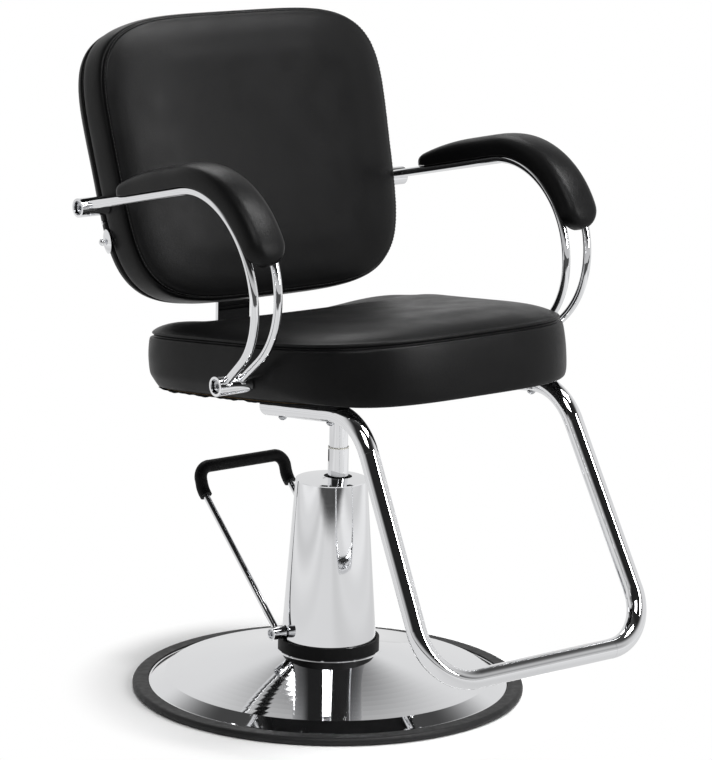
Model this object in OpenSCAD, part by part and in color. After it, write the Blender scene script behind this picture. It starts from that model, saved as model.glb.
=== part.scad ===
// Hydraulic hairdressing chair: round base, foot lever, lifting and turning seat, footrest loop
// Millimetres, +Z up, the sitter faces -Y, origin on the floor at the middle of the base

/* [Base] */
// Outer radius of the rubber rim
base_r = 292; // [275:1:310]
// Height of the rubber rim
rim_h = 12; // [10.5:0.5:14]
// Radial width of the rim's visible band
rim_w = 23; // [20:1:26]
// Height of the pan's flat middle above the floor
pan_top = 62; // [56:1:66]
// Radius of the edge between bevel and dome
bevel_r = 243; // [225:1:246]
// Height of that edge above the floor
bevel_h = 23; // [19:1:28]
// Sheet thickness of the pan
pan_t = 3; // [2:0.5:4]
// Thickness of the cast base plate
plate_t = 8; // [6:1:9]

/* [Column] */
// Outer radius of the tapered cover at its foot
cover_foot_r = 71.3; // [70.5:0.1:76]
// Outer radius of the tapered cover at its top
cover_top_r = 53.3; // [52:0.1:58]
// Height of the cover's top edge above the floor
cover_top = 318; // [313:1:335]
// Sheet thickness of cover and cap
cover_t = 1.5; // [1:0.1:2]
// Rise of the crowned cap
cap_crown = 3; // [1:0.5:5]
// Height of the rubber ring at the cover's foot
ring_h = 17; // [10:1:18]
// Offset of the ram from the middle of the base
ram_x = 12; // [8:0.5:13]

/* [Pump] */
// Radius of the chromed ram
ram_r = 15.3; // [14:0.1:16.5]
// Radius of the post that turns on the ram
post_r = 14; // [13:0.1:15]
// Bore radius of the pump cylinder
bore_r = 22; // [20.5:0.1:24]
// Outer radius of the pump cylinder
cylinder_r = 34; // [32:0.5:35]
// Ram shown above the cover at rest
ram_show = 49; // [49:1:58]
// Way down from rest
lift_down = 44; // [20:1:44]
// Way up from rest
lift_up = 86; // [60:1:90]
// Radius of the pump plunger
plunger_r = 5; // [4:0.1:6]

/* [Foot lever] */
// Width between the middles of the lever's legs
lever_w = 160; // [158:1:176]
// Radius of the lever's rod
lever_rod_r = 5; // [4:0.1:5.5]
// Outer radius of the rubber sleeve
grip_r = 9.5; // [8:0.1:10.5]
// Reach of the lever's top bar behind its shaft
lever_reach = 203; // [190:1:212]
// Rise of the top bar above the shaft
lever_rise = 211; // [200:1:222]
// Radius of the cross shaft
shaft_r = 7; // [6:0.1:8]
// Height of the shaft above the pan
shaft_up = 29; // [28:0.5:31]
// Distance of the shaft behind the middle of the base
shaft_y = 20; // [18:0.5:22]

/* [Seat] */
// Height of the seat board's underside above the ram's top, on the ram's axis
seat_up = 105; // [95:1:125]
// Rise of the seat towards its front, in degrees
seat_tilt = 6.5; // [4:0.5:8]
// Half width of the seat cushion
seat_half_w = 249; // [238:1:250]
// Distance from the ram's axis to the seat's front edge
seat_front = 325; // [312:1:335]
// Distance from the ram's axis to the seat's rear edge
seat_rear = 204; // [194:1:214]
// Height of the cushion's seam above the board's underside
seat_seam_h = 78; // [72:1:84]
// Crown of the cushion above its seam
seat_crown = 25; // [16:1:30]
// Dip of the cushion towards the middle of its rear edge
seat_dip = 20; // [0:1:22]
// How far the cushion's front edge hangs below the board
front_drop = 12; // [0:1:14]
// Thickness of the seat board
seat_board_t = 38; // [36:1:42]

/* [Backrest] */
// Half width of the backrest at the arm fixings
back_half_w = 256; // [248:1:257]
// Height of the backrest along its slope
back_len = 432; // [414:2:450]
// Depth of the backrest's side wall between its two seams
back_side_t = 52; // [48:1:56]
// Crown of the front panel
back_crown = 24; // [12:1:32]
// Depth of the rounded rear panel
rear_crown = 38; // [34:1:44]
// Lean of the backrest, in degrees
back_lean = 16; // [14:0.5:18]
// Thickness of the board inside the backrest
back_board_t = 20; // [17:1:22]

/* [Arms] */
// Outer radius of the arm sleeves
sleeve_r = 14; // [12.5:0.5:15.5]
// Distance from the inner rod to the sleeves' outer ends
sleeve_past = 40; // [36:0.5:44]
// Radius of the arm rods
rod_r = 6; // [5:0.1:6.4]
// Distance from the wider cushion's side to the middle of the inner rod
rod_side_gap = 9; // [8.5:0.5:12]
// Distance from the inner rod to the outer rod at the sleeves
rod_gap = 25; // [20:0.5:26]
// Outward lean of the outer rod, in degrees
rod_splay = 5.6; // [3:0.1:7]
// Bend radius of the rods under the pads
rod_bend = 138; // [120:1:139]
// Thickness of the arm pads over the rods
pad_t = 30; // [20:1:34]
// Overhang of the arm pads past the rods
pad_lip = 1.5; // [1:0.5:3]

/* [Footrest] */
// Outer radius of the footrest tube
tube_r = 14; // [12:0.5:15]
// Wall of the footrest tube
tube_t = 2; // [1.5:0.1:3]
// Distance from the seat cushion's side to the middle of the footrest's tube
foot_side_in = 63; // [55:1:73]
// How much further out the footrest's bottom corners are than its ends under the seat
foot_spread = 17; // [8:1:24]
// Height of the bottom run above the floor
foot_low_h = 149; // [130:1:165]
// Reach of the bottom run in front of the ram's axis
foot_reach = 467; // [445:1:490]
// Bend radius under the seat
foot_top_bend = 85; // [70:1:88]
// Bend radius at the bottom corners
foot_low_bend = 75; // [60:1:90]

/* [Back bar] */
// Width of the flat bar
bar_w = 60; // [54:1:70]
// Thickness of the flat bar
bar_t = 6; // [5:0.5:8]

/* [Hidden] */

chrome = [0.82, 0.83, 0.85];
steel = [0.55, 0.56, 0.58];
iron = [0.3, 0.31, 0.33];
rubber = [0.09, 0.09, 0.09];
leather = [0.05, 0.05, 0.055];
ply = [0.72, 0.58, 0.4];
brass = [0.8, 0.62, 0.3];
nylon = [0.85, 0.85, 0.8];

// Gap of a running or located fit
fit = 0.05;
// Gap between a soft form or a free curved face and its neighbour
clear = 0.3;
// How far a cutting tool runs past the face it cuts
over = 1;
// How far a straight run laps into a bend, and how much fuller the bend is, as a share of its radius
lap = 0.8;
swell_share = 0.015;
fine = 96;
round_fn = 48;
small_fn = 32;
// Turning the exporter's +Z onto +X and onto +Y
to_x = [0, 90, 0];
to_y = [-90, 0, 0];

// Rim and pan
rim_in = base_r - rim_w;
ledge_w = 13;
ledge_h = 4;
bead_w = 4;
bead_drop = 1.5;
dome_in = 80;
pan_step = 2.4;
dome_bow_share = 0.25;
dome_steps = 12;

// Bolts
bolt_r = 4;
arm_bolt_r = 5;
screw_r = 2.2;
head_r = 6.5;
head_h = 5;

// Pump and column, from the pan upwards
flange_t = 10;
flange_gap = 1.8;
flange_r = cover_foot_r - cover_t - flange_gap;
block_r = 46;
spigot_len = 50;
spigot_foot = pan_top - spigot_len;
shaft_z = pan_top + shaft_up;
block_roof = 14;
block_top = shaft_z + shaft_r + block_roof;
cylinder_drop = 18;
cylinder_top = cover_top - cylinder_drop;
bush_len = 28;
gland_h = 12;
gland_r = 26;
seal_h = 6;
seal_w = 4.7;
piston_h = 20;
piston_gap = 2;
piston_z = cylinder_top - bush_len - lift_up - piston_h - piston_gap;
seal_groove = 2.5;
seal_groove_h = 4;
piston_stem = 24;
ram_top = cover_top + ram_show;
seat_h = ram_top + seat_up;
washer_t = 2;
spindle_r = 10;
spindle_len = 60;
boss_top_r = 72;
boss_foot_r = 82;
boss_floor = 10;
pump_bolt_x = 30;
pump_bolt_y = 52;

// Cover, ring and cap
ring_ledge = 4;
ring_wall = 4.2;
cover_foot = pan_top + ring_ledge;
notch_gap = 2.2;
notch_step = 0.4;
cap_skirt = 10;
cap_hole_gap = 5.7;
cap_slot_l = 5;
cap_slot_w = 2;
cap_slot_out = 8.3;

// Foot lever
hub_r = 9.5;
hub_past = 13;
hub_out = lever_w / 2 + hub_past;
hub_gap = 1.2;
screw_seat = 5;
set_screw_r = 1.8;
set_screw_in = 2.3;
kink_drop = 32;
kink_back = 11;
kink_bend = 30;
grip_bend = 18;
grip_tail = 12;
rocker_w = 16;
rocker_r = 11;
rocker_arm = 16;
tip_r = 4;
cavity_gap = 2;
plunger_y = shaft_y + rocker_arm;
plunger_gap = 0.2;
plunger_top = shaft_z - tip_r - plunger_gap;
plunger_len = 26;
spring_len = 30;
spring_wire = 0.7;
spring_turns = 6;
spring_steps = 10;
spring_sides = 6;
spring_z = plunger_top - plunger_len - spring_len;

// Seat fixings, in the seat's own frame
foot_top_w = seat_half_w - foot_side_in;
foot_low_w = foot_top_w + foot_spread;
cloth_t = 0.8;
plate_w = 240;
plate_d = 190;
mount_t = 5;
plate_corner = 15;
plate_bolt_x = 98;
plate_bolt_y = 76;
hub_flare_r = 34;
hub_flare_h = 26;
foot_corner = 277;
foot_tail = 68;
foot_bolt_1 = 103;
foot_bolt_2 = 213;
foot_bolt_depth = 18;
plug_dome_h = 7;
plug_stem_l = 15;
bar_front = 106;
bar_bolt_x = 16;
bar_bolt_1 = 122;
bar_bolt_2 = 150;
bar_bend = 14;
board_inset = 14;
edge_turn = 10;

// Backrest, in its own frame: x across, y up the slope, z out of its front
back_low = 150;
back_mid = back_len / 2 - back_low;
back_taper_share = 0.05;
back_power = 4.5;
seat_power_front = 3.3;
seat_power_rear = 5.4;
board_mid_t = back_side_t - back_board_t / 2;
rear_t = back_side_t + clear + rear_crown;
bar_kink_v = -60;
bar_end_v = 58;
back_bolt_1 = -34;
back_bolt_2 = 36;

// Shape of the seat cushion's lower edge and of its dip
edge_rise = 12;
drop_from = 130;
dip_from = -10;
dip_w = 80;
dip_out_w = 260;
seam_dip_share = 0.4;

// Arm fixings
rod_in_w = max(seat_half_w, back_half_w) + rod_side_gap;
sleeve_out_w = rod_in_w + sleeve_past;
arm_seat_y = 109;
arm_seat_z = 28;
arm_back_v = 12;
arm_rear_y = 236;
sleeve_bore_end = 10;
socket_r = 10.5;
socket_head_r = 8;
socket_head_h = 6;
arm_bolt_in = 40;
rod_up = 2.4;
rod_slope_angle = 12.7;
rod_front = 194;
rod_low_rise = 73;
rod_low_bend = 118;
pad_tail = 184;
pad_turn_angle = 83;
pad_rear_round = 24;
pad_front_round = 27;
pad_skirt = 2;
pad_taper = 120;
pad_rear_share = 0.45;
tab_t = 2.5;
tab_l = 22;
tab_drop = 0.4;
tab_1 = 70;
tab_2 = 210;
pad_screw_in = 10;

// Where the backrest stands so that its board takes the arm bolts
back_rise = 244;
back_z = seat_h + back_rise;
back_y = arm_rear_y - board_mid_t / cos(back_lean);

// Washer and screws on the backrest's side
side_v = -40;
side_back = 6;
side_sink = -0.6;
side_r = 18;
side_dish = 4;
side_t = 1.5;
knob_r = 5.5;
knob_neck = 7;
small_screw_v = -12;
small_screw_r = 3;
side_turn_angle = 16;
side_screw_in = 34;
pad_gap = 0.8;

// Directions, lengths and bends of paths
function unit(v) = v / norm(v);
function turn(a, b, c) = acos(min(1, max(-1, unit(b - a) * unit(c - b))));
function tangent(p, radii, i) = radii[i - 1] * tan(turn(p[i - 1], p[i], p[i + 1]) / 2);
function run_start(p, radii, i) = i == 0 ? p[0] : p[i] + unit(p[i + 1] - p[i]) * tangent(p, radii, i);
function run_end(p, radii, i) =
  i == len(p) - 2 ? p[i + 1] : p[i + 1] - unit(p[i + 1] - p[i]) * tangent(p, radii, i + 1);
function bend_normal(p, i) = unit(cross(p[i + 1] - p[i], p[i + 2] - p[i + 1]));

// Points of the tilted seat frame and of the leaning backrest frame, in the chair's frame
function seat_pt(x, y, z) = [ram_x + x, y * cos(seat_tilt) + z * sin(seat_tilt),
  seat_h - y * sin(seat_tilt) + z * cos(seat_tilt)];
function back_pt(x, v, z) = [ram_x + x, back_y + v * sin(back_lean) - z * cos(back_lean),
  back_z + v * cos(back_lean) + z * sin(back_lean)];

// Rounded outlines by polar angle: a and b are half sizes, p the fullness of the corners
function polar_r(t, a, b, p) = pow(pow(abs(cos(t)) / a, p) + pow(abs(sin(t)) / b, p), -1 / p);
outline_n = 56;
function smooth(u) = let (c = min(1, max(0, u))) c * c * (3 - 2 * c);
function seat_edge(y) =
  edge_rise - (edge_rise + front_drop) * smooth((-y - drop_from) / (seat_front - drop_from));
function dip_at(x, y) = smooth((y - dip_from) / (seat_rear / 2 - dip_from))
  * smooth((dip_out_w - abs(x)) / (dip_out_w - dip_w));
seat_mid = (seat_rear - seat_front) / 2;
seat_half_d = (seat_rear + seat_front) / 2;
function seat_point(t, inset, p_drop) =
  let (p = (sin(t) < 0 ? seat_power_front : seat_power_rear) - p_drop,
       r = polar_r(t, seat_half_w - inset, seat_half_d - inset, p))
  [r * cos(t), seat_mid + r * sin(t)];
function back_point(t, inset, p_drop) =
  let (r = polar_r(t, back_half_w - inset, back_len / 2 - inset, back_power - p_drop),
       v = back_mid + r * sin(t))
  [r * cos(t) * (1 + back_taper_share * v / back_half_w), v];
function seat_ring(inset, z, p_drop = 0, edge = 0, dip = 0) =
  [for (k = [0 : outline_n - 1]) let (q = seat_point(360 * k / outline_n, inset, p_drop))
    [q.x, q.y, z + edge * seat_edge(q.y) - dip * seat_dip * dip_at(q.x, q.y)]];
function back_ring(inset, z, p_drop = 0) =
  [for (k = [0 : outline_n - 1]) let (q = back_point(360 * k / outline_n, inset, p_drop)) [q.x, q.y, z]];
function flat(ring) = [for (q = ring) [q.x, q.y]];

// Places its children by three axes and an origin
module placed(x, y, z, o) {
  multmatrix([[x.x, y.x, z.x, o.x], [x.y, y.y, z.y, o.y], [x.z, y.z, z.z, o.z], [0, 0, 0, 1]]) children();
}

// Straight runs of the first child's section, lapped into round bends of the second child's section
module bent(p, radii) {
  last = len(p) - 2;
  for (i = [0 : last]) {
    d = unit(p[i + 1] - p[i]);
    across = bend_normal(p, min(i, last - 1));
    from = run_start(p, radii, i) - d * (i > 0 ? lap : 0);
    to = run_end(p, radii, i) + d * (i < last ? lap : 0);
    placed(cross(across, d), across, d, from) linear_extrude(norm(to - from)) children(0);
  }
  for (i = [1 : last]) {
    u = unit(p[i] - p[i - 1]);
    w = bend_normal(p, i - 1);
    out = cross(u, w);
    centre = run_end(p, radii, i - 1) - out * radii[i - 1];
    placed(out, u, w, centre)
      rotate_extrude(angle = turn(p[i - 1], p[i], p[i + 1]), $fn = fine)
        translate([radii[i - 1], 0]) children(1);
  }
}

// A round bar and a round tube, a hair fuller in the bends so that the laps lie inside them
module bent_bar(p, radii, r) {
  bent(p, radii) {
    circle(r = r, $fn = round_fn);
    circle(r = r * (1 + swell_share), $fn = round_fn);
  }
}
module bent_tube(p, radii, r, bore) {
  bent(p, radii) {
    tube_section(r, bore);
    tube_section(r * (1 + swell_share), bore - r * swell_share);
  }
}
module tube_section(r, bore) {
  difference() {
    circle(r = r, $fn = round_fn);
    circle(r = bore, $fn = round_fn);
  }
}

// Closed skin through rings of equal count, its ends fanned to two middle points
module loft(rings, first, last) {
  m = len(rings[0]);
  n = len(rings);
  faces = concat(
    [for (j = [0 : m - 1]) [0, 1 + j, 1 + (j + 1) % m]],
    [for (i = [0 : n - 2], j = [0 : m - 1]) each let (a = 1 + i * m, b = a + m, k = (j + 1) % m)
      [[a + j, b + j, a + k], [a + k, b + j, b + k]]],
    [for (j = [0 : m - 1]) [n * m + 1, 1 + (n - 1) * m + (j + 1) % m, 1 + (n - 1) * m + j]]);
  polyhedron(concat([first], [for (r = rings) each r], [last]), faces);
}

// Ring of rectangular section
module ring(outer, inner, h) {
  difference() {
    cylinder(r = outer, h = h, $fn = fine);
    translate([0, 0, -over]) cylinder(r = inner, h = h + 2 * over, $fn = fine);
  }
}

// Flat plate with rounded corners, middle of its underside at the origin
module rounded_plate(w, d, t, r) {
  translate([-w / 2 + r, -d / 2, 0]) cube([w - 2 * r, d, t]);
  translate([-w / 2, -d / 2 + r, 0]) cube([w, d - 2 * r, t]);
  for (x = [-1, 1], y = [-1, 1])
    translate([x * (w / 2 - r), y * (d / 2 - r), 0]) cylinder(r = r, h = t, $fn = small_fn);
}

// Hexagon bolt pointing up, the underside of its head at the origin
module hex_bolt(r, len, head, head_height) {
  cylinder(r = r, h = len, $fn = small_fn);
  translate([0, 0, -head_height]) cylinder(r = head, h = head_height, $fn = 6);
}

// Bolt with a low domed head pointing up, the underside of its head at the origin
module dome_bolt(r, len, head, head_height) {
  cylinder(r = r, h = len, $fn = small_fn);
  rotate([180, 0, 0]) dome(head, head_height);
}

// Socket screw pointing up, the underside of its head at the origin
module socket_screw(r, len, head, head_height) {
  difference() {
    union() {
      cylinder(r = r, h = len, $fn = small_fn);
      translate([0, 0, -head_height]) cylinder(r = head, h = head_height, $fn = small_fn);
    }
    translate([0, 0, -head_height - over]) cylinder(r = head / 2, h = head_height / 2 + over, $fn = 6);
  }
}

module on_ram() { translate([ram_x, 0, 0]) children(); }
module on_seat() { translate([ram_x, 0, seat_h]) rotate([-seat_tilt, 0, 0]) children(); }
module on_back() { translate([ram_x, back_y, back_z]) rotate([90 - back_lean, 0, 0]) children(); }

// Base
module base_plate() {
  color(iron) difference() {
    union() {
      cylinder(r = rim_in - ledge_w - clear, h = plate_t, $fn = fine);
      translate([0, 0, plate_t])
        cylinder(r1 = boss_foot_r, r2 = boss_top_r, h = pan_top - pan_t - plate_t, $fn = fine);
    }
    translate([0, 0, boss_floor]) cylinder(r = block_r + fit, h = pan_top, $fn = fine);
    pump_bolt_places() translate([0, 0, boss_floor]) cylinder(r = bolt_r + fit, h = pan_top, $fn = small_fn);
  }
}

module pump_bolt_places() {
  for (x = [-1, 1], y = [-1, 1]) translate([x * pump_bolt_x, y * pump_bolt_y, 0]) children();
}

// Height of the dome between its bevel and its flat middle
function dome_z(u) =
  bevel_h + (pan_top - pan_step - bevel_h) * ((1 - dome_bow_share) * u + dome_bow_share * u * u);
module base_pan() {
  edge_r = rim_in - fit;
  edge_h = rim_h - bead_drop;
  outer = concat(
    [[edge_r, ledge_h], [edge_r, edge_h - bead_drop], [edge_r - bead_drop, edge_h],
     [edge_r - bead_w, edge_h], [edge_r - bead_w - bead_drop, edge_h + bead_drop / 2]],
    [for (k = [0 : dome_steps]) let (u = k / dome_steps) [bevel_r + (dome_in - bevel_r) * u, dome_z(u)]],
    [for (a = [0, 30, 60, 90]) [dome_in - pan_step + pan_step * cos(a), pan_top - pan_step * (1 - sin(a))]],
    [[block_r + fit, pan_top]]);
  inner = concat([[block_r + fit, pan_top - pan_t], [dome_in - pan_step - pan_t / 2, pan_top - pan_t]],
    [for (k = [dome_steps : -1 : 0]) let (u = k / dome_steps)
      [bevel_r - pan_t / 2 + (dome_in - bevel_r) * u, dome_z(u) - pan_t]],
    [[edge_r - bead_w - bead_drop, edge_h - pan_t], [edge_r - pan_t, edge_h - pan_t - bead_drop],
     [edge_r - pan_t, ledge_h]]);
  color(chrome) difference() {
    rotate_extrude($fn = fine) polygon(concat(outer, inner));
    pump_bolt_places() cylinder(r = bolt_r + fit, h = pan_top + over, $fn = small_fn);
  }
}

module base_rim() {
  round_r = rim_h / 2;
  color(rubber) rotate_extrude($fn = fine) {
    translate([rim_in, 0]) square([rim_w - round_r, rim_h]);
    translate([base_r - round_r, round_r]) circle(r = round_r, $fn = small_fn);
    translate([rim_in - ledge_w, 0]) square([ledge_w + over, ledge_h]);
  }
}

// Pump
module pump_body() {
  cavity_h = rocker_r + cavity_gap;
  color(iron) difference() {
    union() {
      translate([0, 0, pan_top]) cylinder(r = flange_r, h = flange_t, $fn = fine);
      translate([0, 0, spigot_foot]) cylinder(r = block_r, h = spigot_len, $fn = fine);
      translate([0, 0, pan_top]) cylinder(r = block_r, h = block_top - pan_top, $fn = fine);
      on_ram() translate([0, 0, pan_top]) cylinder(r = cylinder_r, h = cylinder_top - pan_top, $fn = fine);
    }
    on_ram() translate([0, 0, block_top]) cylinder(r = bore_r, h = cover_top, $fn = fine);
    translate([-cover_foot_r, shaft_y, shaft_z]) rotate(to_x)
      cylinder(r = shaft_r + fit, h = 2 * cover_foot_r, $fn = round_fn);
    translate([ram_x - rocker_w / 2 - over, shaft_y - rocker_r - over, shaft_z - cavity_h])
      cube([rocker_w + 2 * over, cover_foot_r, 2 * cavity_h]);
    translate([ram_x, plunger_y, spring_z])
      cylinder(r = plunger_r + fit, h = shaft_z - spring_z, $fn = round_fn);
    pump_bolt_places() translate([0, 0, pan_top - over])
      cylinder(r = bolt_r + fit, h = flange_t + 2 * over, $fn = small_fn);
  }
}

module pump_bolts() {
  color(steel) pump_bolt_places() translate([0, 0, pan_top + flange_t]) rotate([180, 0, 0])
    hex_bolt(bolt_r, pan_top + flange_t - boss_floor - over, head_r, head_h);
}

module guide_bush() {
  color(brass) on_ram() translate([0, 0, cylinder_top - bush_len]) ring(bore_r - fit, ram_r + fit, bush_len);
}

module gland_nut() {
  color(steel) on_ram() translate([0, 0, cylinder_top]) ring(gland_r, ram_r + fit, gland_h);
}

module wiper_seal() {
  color(rubber) on_ram() translate([0, 0, cylinder_top + gland_h]) ring(ram_r + seal_w, ram_r + fit, seal_h);
}

// Coil from the bottom of the plunger's well up to the plunger
module plunger_spring() {
  coil_r = plunger_r - spring_wire - clear;
  count = spring_turns * spring_steps;
  rise = spring_len - 2 * (spring_wire + fit);
  rings = [for (i = [0 : count]) let (a = 360 * i / spring_steps)
    [for (k = [0 : spring_sides - 1]) let (b = -360 * k / spring_sides, r = coil_r + spring_wire * cos(b))
      [r * cos(a), r * sin(a), rise * i / count + spring_wire * sin(b)]]];
  color(steel) translate([ram_x, plunger_y, spring_z + spring_wire + fit])
    loft(rings, [coil_r, 0, 0], [coil_r, 0, rise]);
}

// Column cover
function cover_r(z) =
  cover_foot_r + (cover_top_r - cover_foot_r) * (z - cover_foot) / (cover_top - cover_foot);
module cover_ring() {
  inner = cover_foot_r + fit;
  color(rubber) rotate_extrude($fn = fine) {
    translate([inner, pan_top]) square([ring_wall, ring_h]);
    translate([cover_foot_r - cover_t, pan_top]) square([cover_t + over, ring_ledge]);
  }
}

module column_cover() {
  notch = shaft_r + notch_gap;
  color(chrome) difference() {
    rotate_extrude($fn = fine) polygon([[cover_foot_r, cover_foot], [cover_top_r, cover_top],
      [cover_top_r - cover_t, cover_top], [cover_foot_r - cover_t, cover_foot]]);
    translate([-cover_foot_r - over, shaft_y, shaft_z]) rotate(to_x)
      cylinder(r = notch, h = 2 * (cover_foot_r + over), $fn = round_fn);
    translate([-cover_foot_r - over, shaft_y - notch + notch_step, cover_foot - over])
      cube([2 * (cover_foot_r + over), 2 * (notch - notch_step), shaft_up]);
  }
}

module cover_cap() {
  sphere_r = (cover_top_r * cover_top_r + cap_crown * cap_crown) / (2 * cap_crown);
  skirt_r = cover_top_r - cover_t - fit;
  steps = 8;
  crown = [for (k = [0 : steps]) let (r = cover_top_r * k / steps)
    [r, cover_top + cover_t - sphere_r + cap_crown + sqrt(sphere_r * sphere_r - r * r)]];
  color(chrome) difference() {
    rotate_extrude($fn = fine) polygon(concat(crown, [[cover_top_r, cover_top], [skirt_r, cover_top],
      [skirt_r, cover_top - cap_skirt], [skirt_r - cover_t, cover_top - cap_skirt],
      [skirt_r - cover_t, cover_top], [0, cover_top]]));
    on_ram() translate([0, 0, cover_top - over])
      cylinder(r = ram_r + cap_hole_gap, h = 2 * cover_t + cap_crown + over, $fn = fine);
    translate([ram_x - ram_r - cap_slot_out - cap_slot_l, -cap_slot_w / 2, cover_top - over])
      cube([cap_slot_l, cap_slot_w, 2 * cover_t + cap_crown + over]);
  }
}

// Foot lever
hub_in = cover_r(shaft_z) + hub_gap;
module at_shaft(x) { translate([x, shaft_y, shaft_z]) rotate(to_x) children(); }

module lever_shaft() {
  half = hub_out - screw_seat;
  color(steel) difference() {
    at_shaft(-half) cylinder(r = shaft_r, h = 2 * half, $fn = round_fn);
    for (s = [-1, 1]) at_shaft(s * half - screw_seat * 2)
      cylinder(r = shaft_r / 2 + fit, h = screw_seat * 4, $fn = small_fn);
    set_screw_places() cylinder(r = set_screw_r + fit, h = hub_r, $fn = small_fn);
  }
}

// Middle line of the lever's rod, from the left hub over the top bar to the right hub
function lever_leg(s) = [[s * lever_w / 2, shaft_y, shaft_z],
  [s * lever_w / 2, shaft_y + lever_reach - kink_back, shaft_z + lever_rise - kink_drop],
  [s * lever_w / 2, shaft_y + lever_reach, shaft_z + lever_rise]];
lever_path = [for (q = lever_leg(-1)) q, for (k = [2 : -1 : 0]) lever_leg(1)[k]];
lever_bends = [kink_bend, grip_bend, grip_bend, kink_bend];

module set_screw_places() {
  for (s = [-1, 1]) translate([s * (hub_in + set_screw_in), shaft_y, shaft_z + shaft_r - over]) children();
}

module foot_lever() {
  color(chrome) difference() {
    union() {
      bent_bar(lever_path, lever_bends, lever_rod_r);
      for (x = [-hub_out, hub_in])
        at_shaft(x) cylinder(r = hub_r, h = hub_out - hub_in, $fn = round_fn);
    }
    for (x = [-hub_out - over, hub_in - over]) at_shaft(x)
      cylinder(r = shaft_r + fit, h = hub_out - hub_in + 2 * over, $fn = round_fn);
    set_screw_places() cylinder(r = set_screw_r + fit, h = hub_r, $fn = small_fn);
  }
}

module lever_grip() {
  tails = [for (s = [-1, 1]) let (leg = lever_leg(s)) leg[1] - unit(leg[1] - leg[0]) * grip_tail];
  p = [tails[0], lever_path[1], lever_path[2], lever_path[3], lever_path[4], tails[1]];
  color(rubber) bent_tube(p, lever_bends, grip_r, lever_rod_r + fit + (lever_rod_r + grip_r) * swell_share);
}

module lever_screws() {
  len = hub_r - shaft_r + over;
  color(steel) {
    for (s = [-1, 1]) translate([s * (hub_out - screw_seat), shaft_y, shaft_z]) rotate([0, -s * 90, 0])
      socket_screw(shaft_r / 2, screw_seat * 2, shaft_r - fit, screw_seat - over);
    set_screw_places() difference() {
      cylinder(r = set_screw_r, h = len, $fn = small_fn);
      translate([0, 0, len - over]) cylinder(r = set_screw_r / 2, h = len, $fn = 6);
    }
  }
}

module lever_rocker() {
  color(steel) difference() {
    union() {
      at_shaft(ram_x - rocker_w / 2) cylinder(r = rocker_r, h = rocker_w, $fn = round_fn);
      at_shaft(ram_x - rocker_w / 2) translate([0, rocker_arm, 0])
        cylinder(r = tip_r, h = rocker_w, $fn = small_fn);
      translate([ram_x - rocker_w / 2, shaft_y, shaft_z - tip_r]) cube([rocker_w, rocker_arm, 2 * tip_r]);
    }
    at_shaft(ram_x - rocker_w) cylinder(r = shaft_r + fit, h = 2 * rocker_w, $fn = round_fn);
  }
}

module pump_plunger() {
  color(steel) translate([ram_x, plunger_y, plunger_top - plunger_len])
    cylinder(r = plunger_r, h = plunger_len, $fn = round_fn);
}

// Ram
module ram() {
  foot = piston_z + piston_h;
  color(chrome) on_ram() translate([0, 0, foot]) ring(ram_r, spindle_r + fit, ram_top - washer_t - foot);
}

module seal_places() {
  for (k = [1, 3]) on_ram() translate([0, 0, piston_z + piston_h * k / 4 - seal_groove_h / 2]) children();
}

module ram_piston() {
  color(steel) difference() {
    on_ram() translate([0, 0, piston_z]) {
      cylinder(r = bore_r - clear, h = piston_h, $fn = fine);
      cylinder(r = spindle_r, h = piston_h + piston_stem, $fn = round_fn);
    }
    seal_places() ring(bore_r, bore_r - seal_groove, seal_groove_h);
  }
}

module piston_seals() {
  color(rubber) seal_places() ring(bore_r - fit, bore_r - seal_groove + fit, seal_groove_h);
}

module thrust_washer() {
  color(nylon) on_ram() translate([0, 0, ram_top - washer_t]) ring(ram_r, spindle_r + fit, washer_t);
}

// Post and plate under the seat
module post() {
  color(chrome) difference() {
    on_ram() {
      translate([0, 0, ram_top - spindle_len])
        cylinder(r = spindle_r, h = spindle_len + over, $fn = round_fn);
      translate([0, 0, ram_top]) cylinder(r = post_r, h = seat_h - ram_top, $fn = fine);
      translate([0, 0, seat_h - hub_flare_h])
        cylinder(r1 = post_r, r2 = hub_flare_r, h = hub_flare_h, $fn = fine);
    }
    on_seat() translate([-plate_w / 2, -plate_d / 2, -cloth_t - mount_t])
      cube([plate_w, plate_d, hub_flare_h]);
  }
}

module plate_bolt_places() {
  for (x = [-1, 1], y = [-1, 1]) translate([x * plate_bolt_x, y * plate_bolt_y, 0]) children();
}

module mount_plate() {
  color(iron) on_seat() difference() {
    translate([0, 0, -cloth_t - mount_t]) rounded_plate(plate_w, plate_d, mount_t, plate_corner);
    plate_bolt_places() translate([0, 0, -cloth_t - mount_t - over])
      cylinder(r = bolt_r + fit, h = mount_t + 2 * over, $fn = small_fn);
  }
}

module plate_bolts() {
  color(steel) on_seat() plate_bolt_places() translate([0, 0, -cloth_t - mount_t])
    hex_bolt(bolt_r, mount_t + cloth_t + seat_board_t / 2, head_r, head_h);
}

// Footrest: one tube bent round, open at its two rear ends under the seat
tube_z = -cloth_t - clear - tube_r;
foot_path = [seat_pt(-foot_top_w, -foot_tail, tube_z), seat_pt(-foot_top_w, -foot_corner, tube_z),
  [ram_x - foot_low_w, -foot_reach, foot_low_h], [ram_x + foot_low_w, -foot_reach, foot_low_h],
  seat_pt(foot_top_w, -foot_corner, tube_z), seat_pt(foot_top_w, -foot_tail, tube_z)];

module foot_bolt_places() {
  for (x = [-1, 1], y = [foot_bolt_1, foot_bolt_2]) translate([x * foot_top_w, -y, 0]) children();
}

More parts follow.
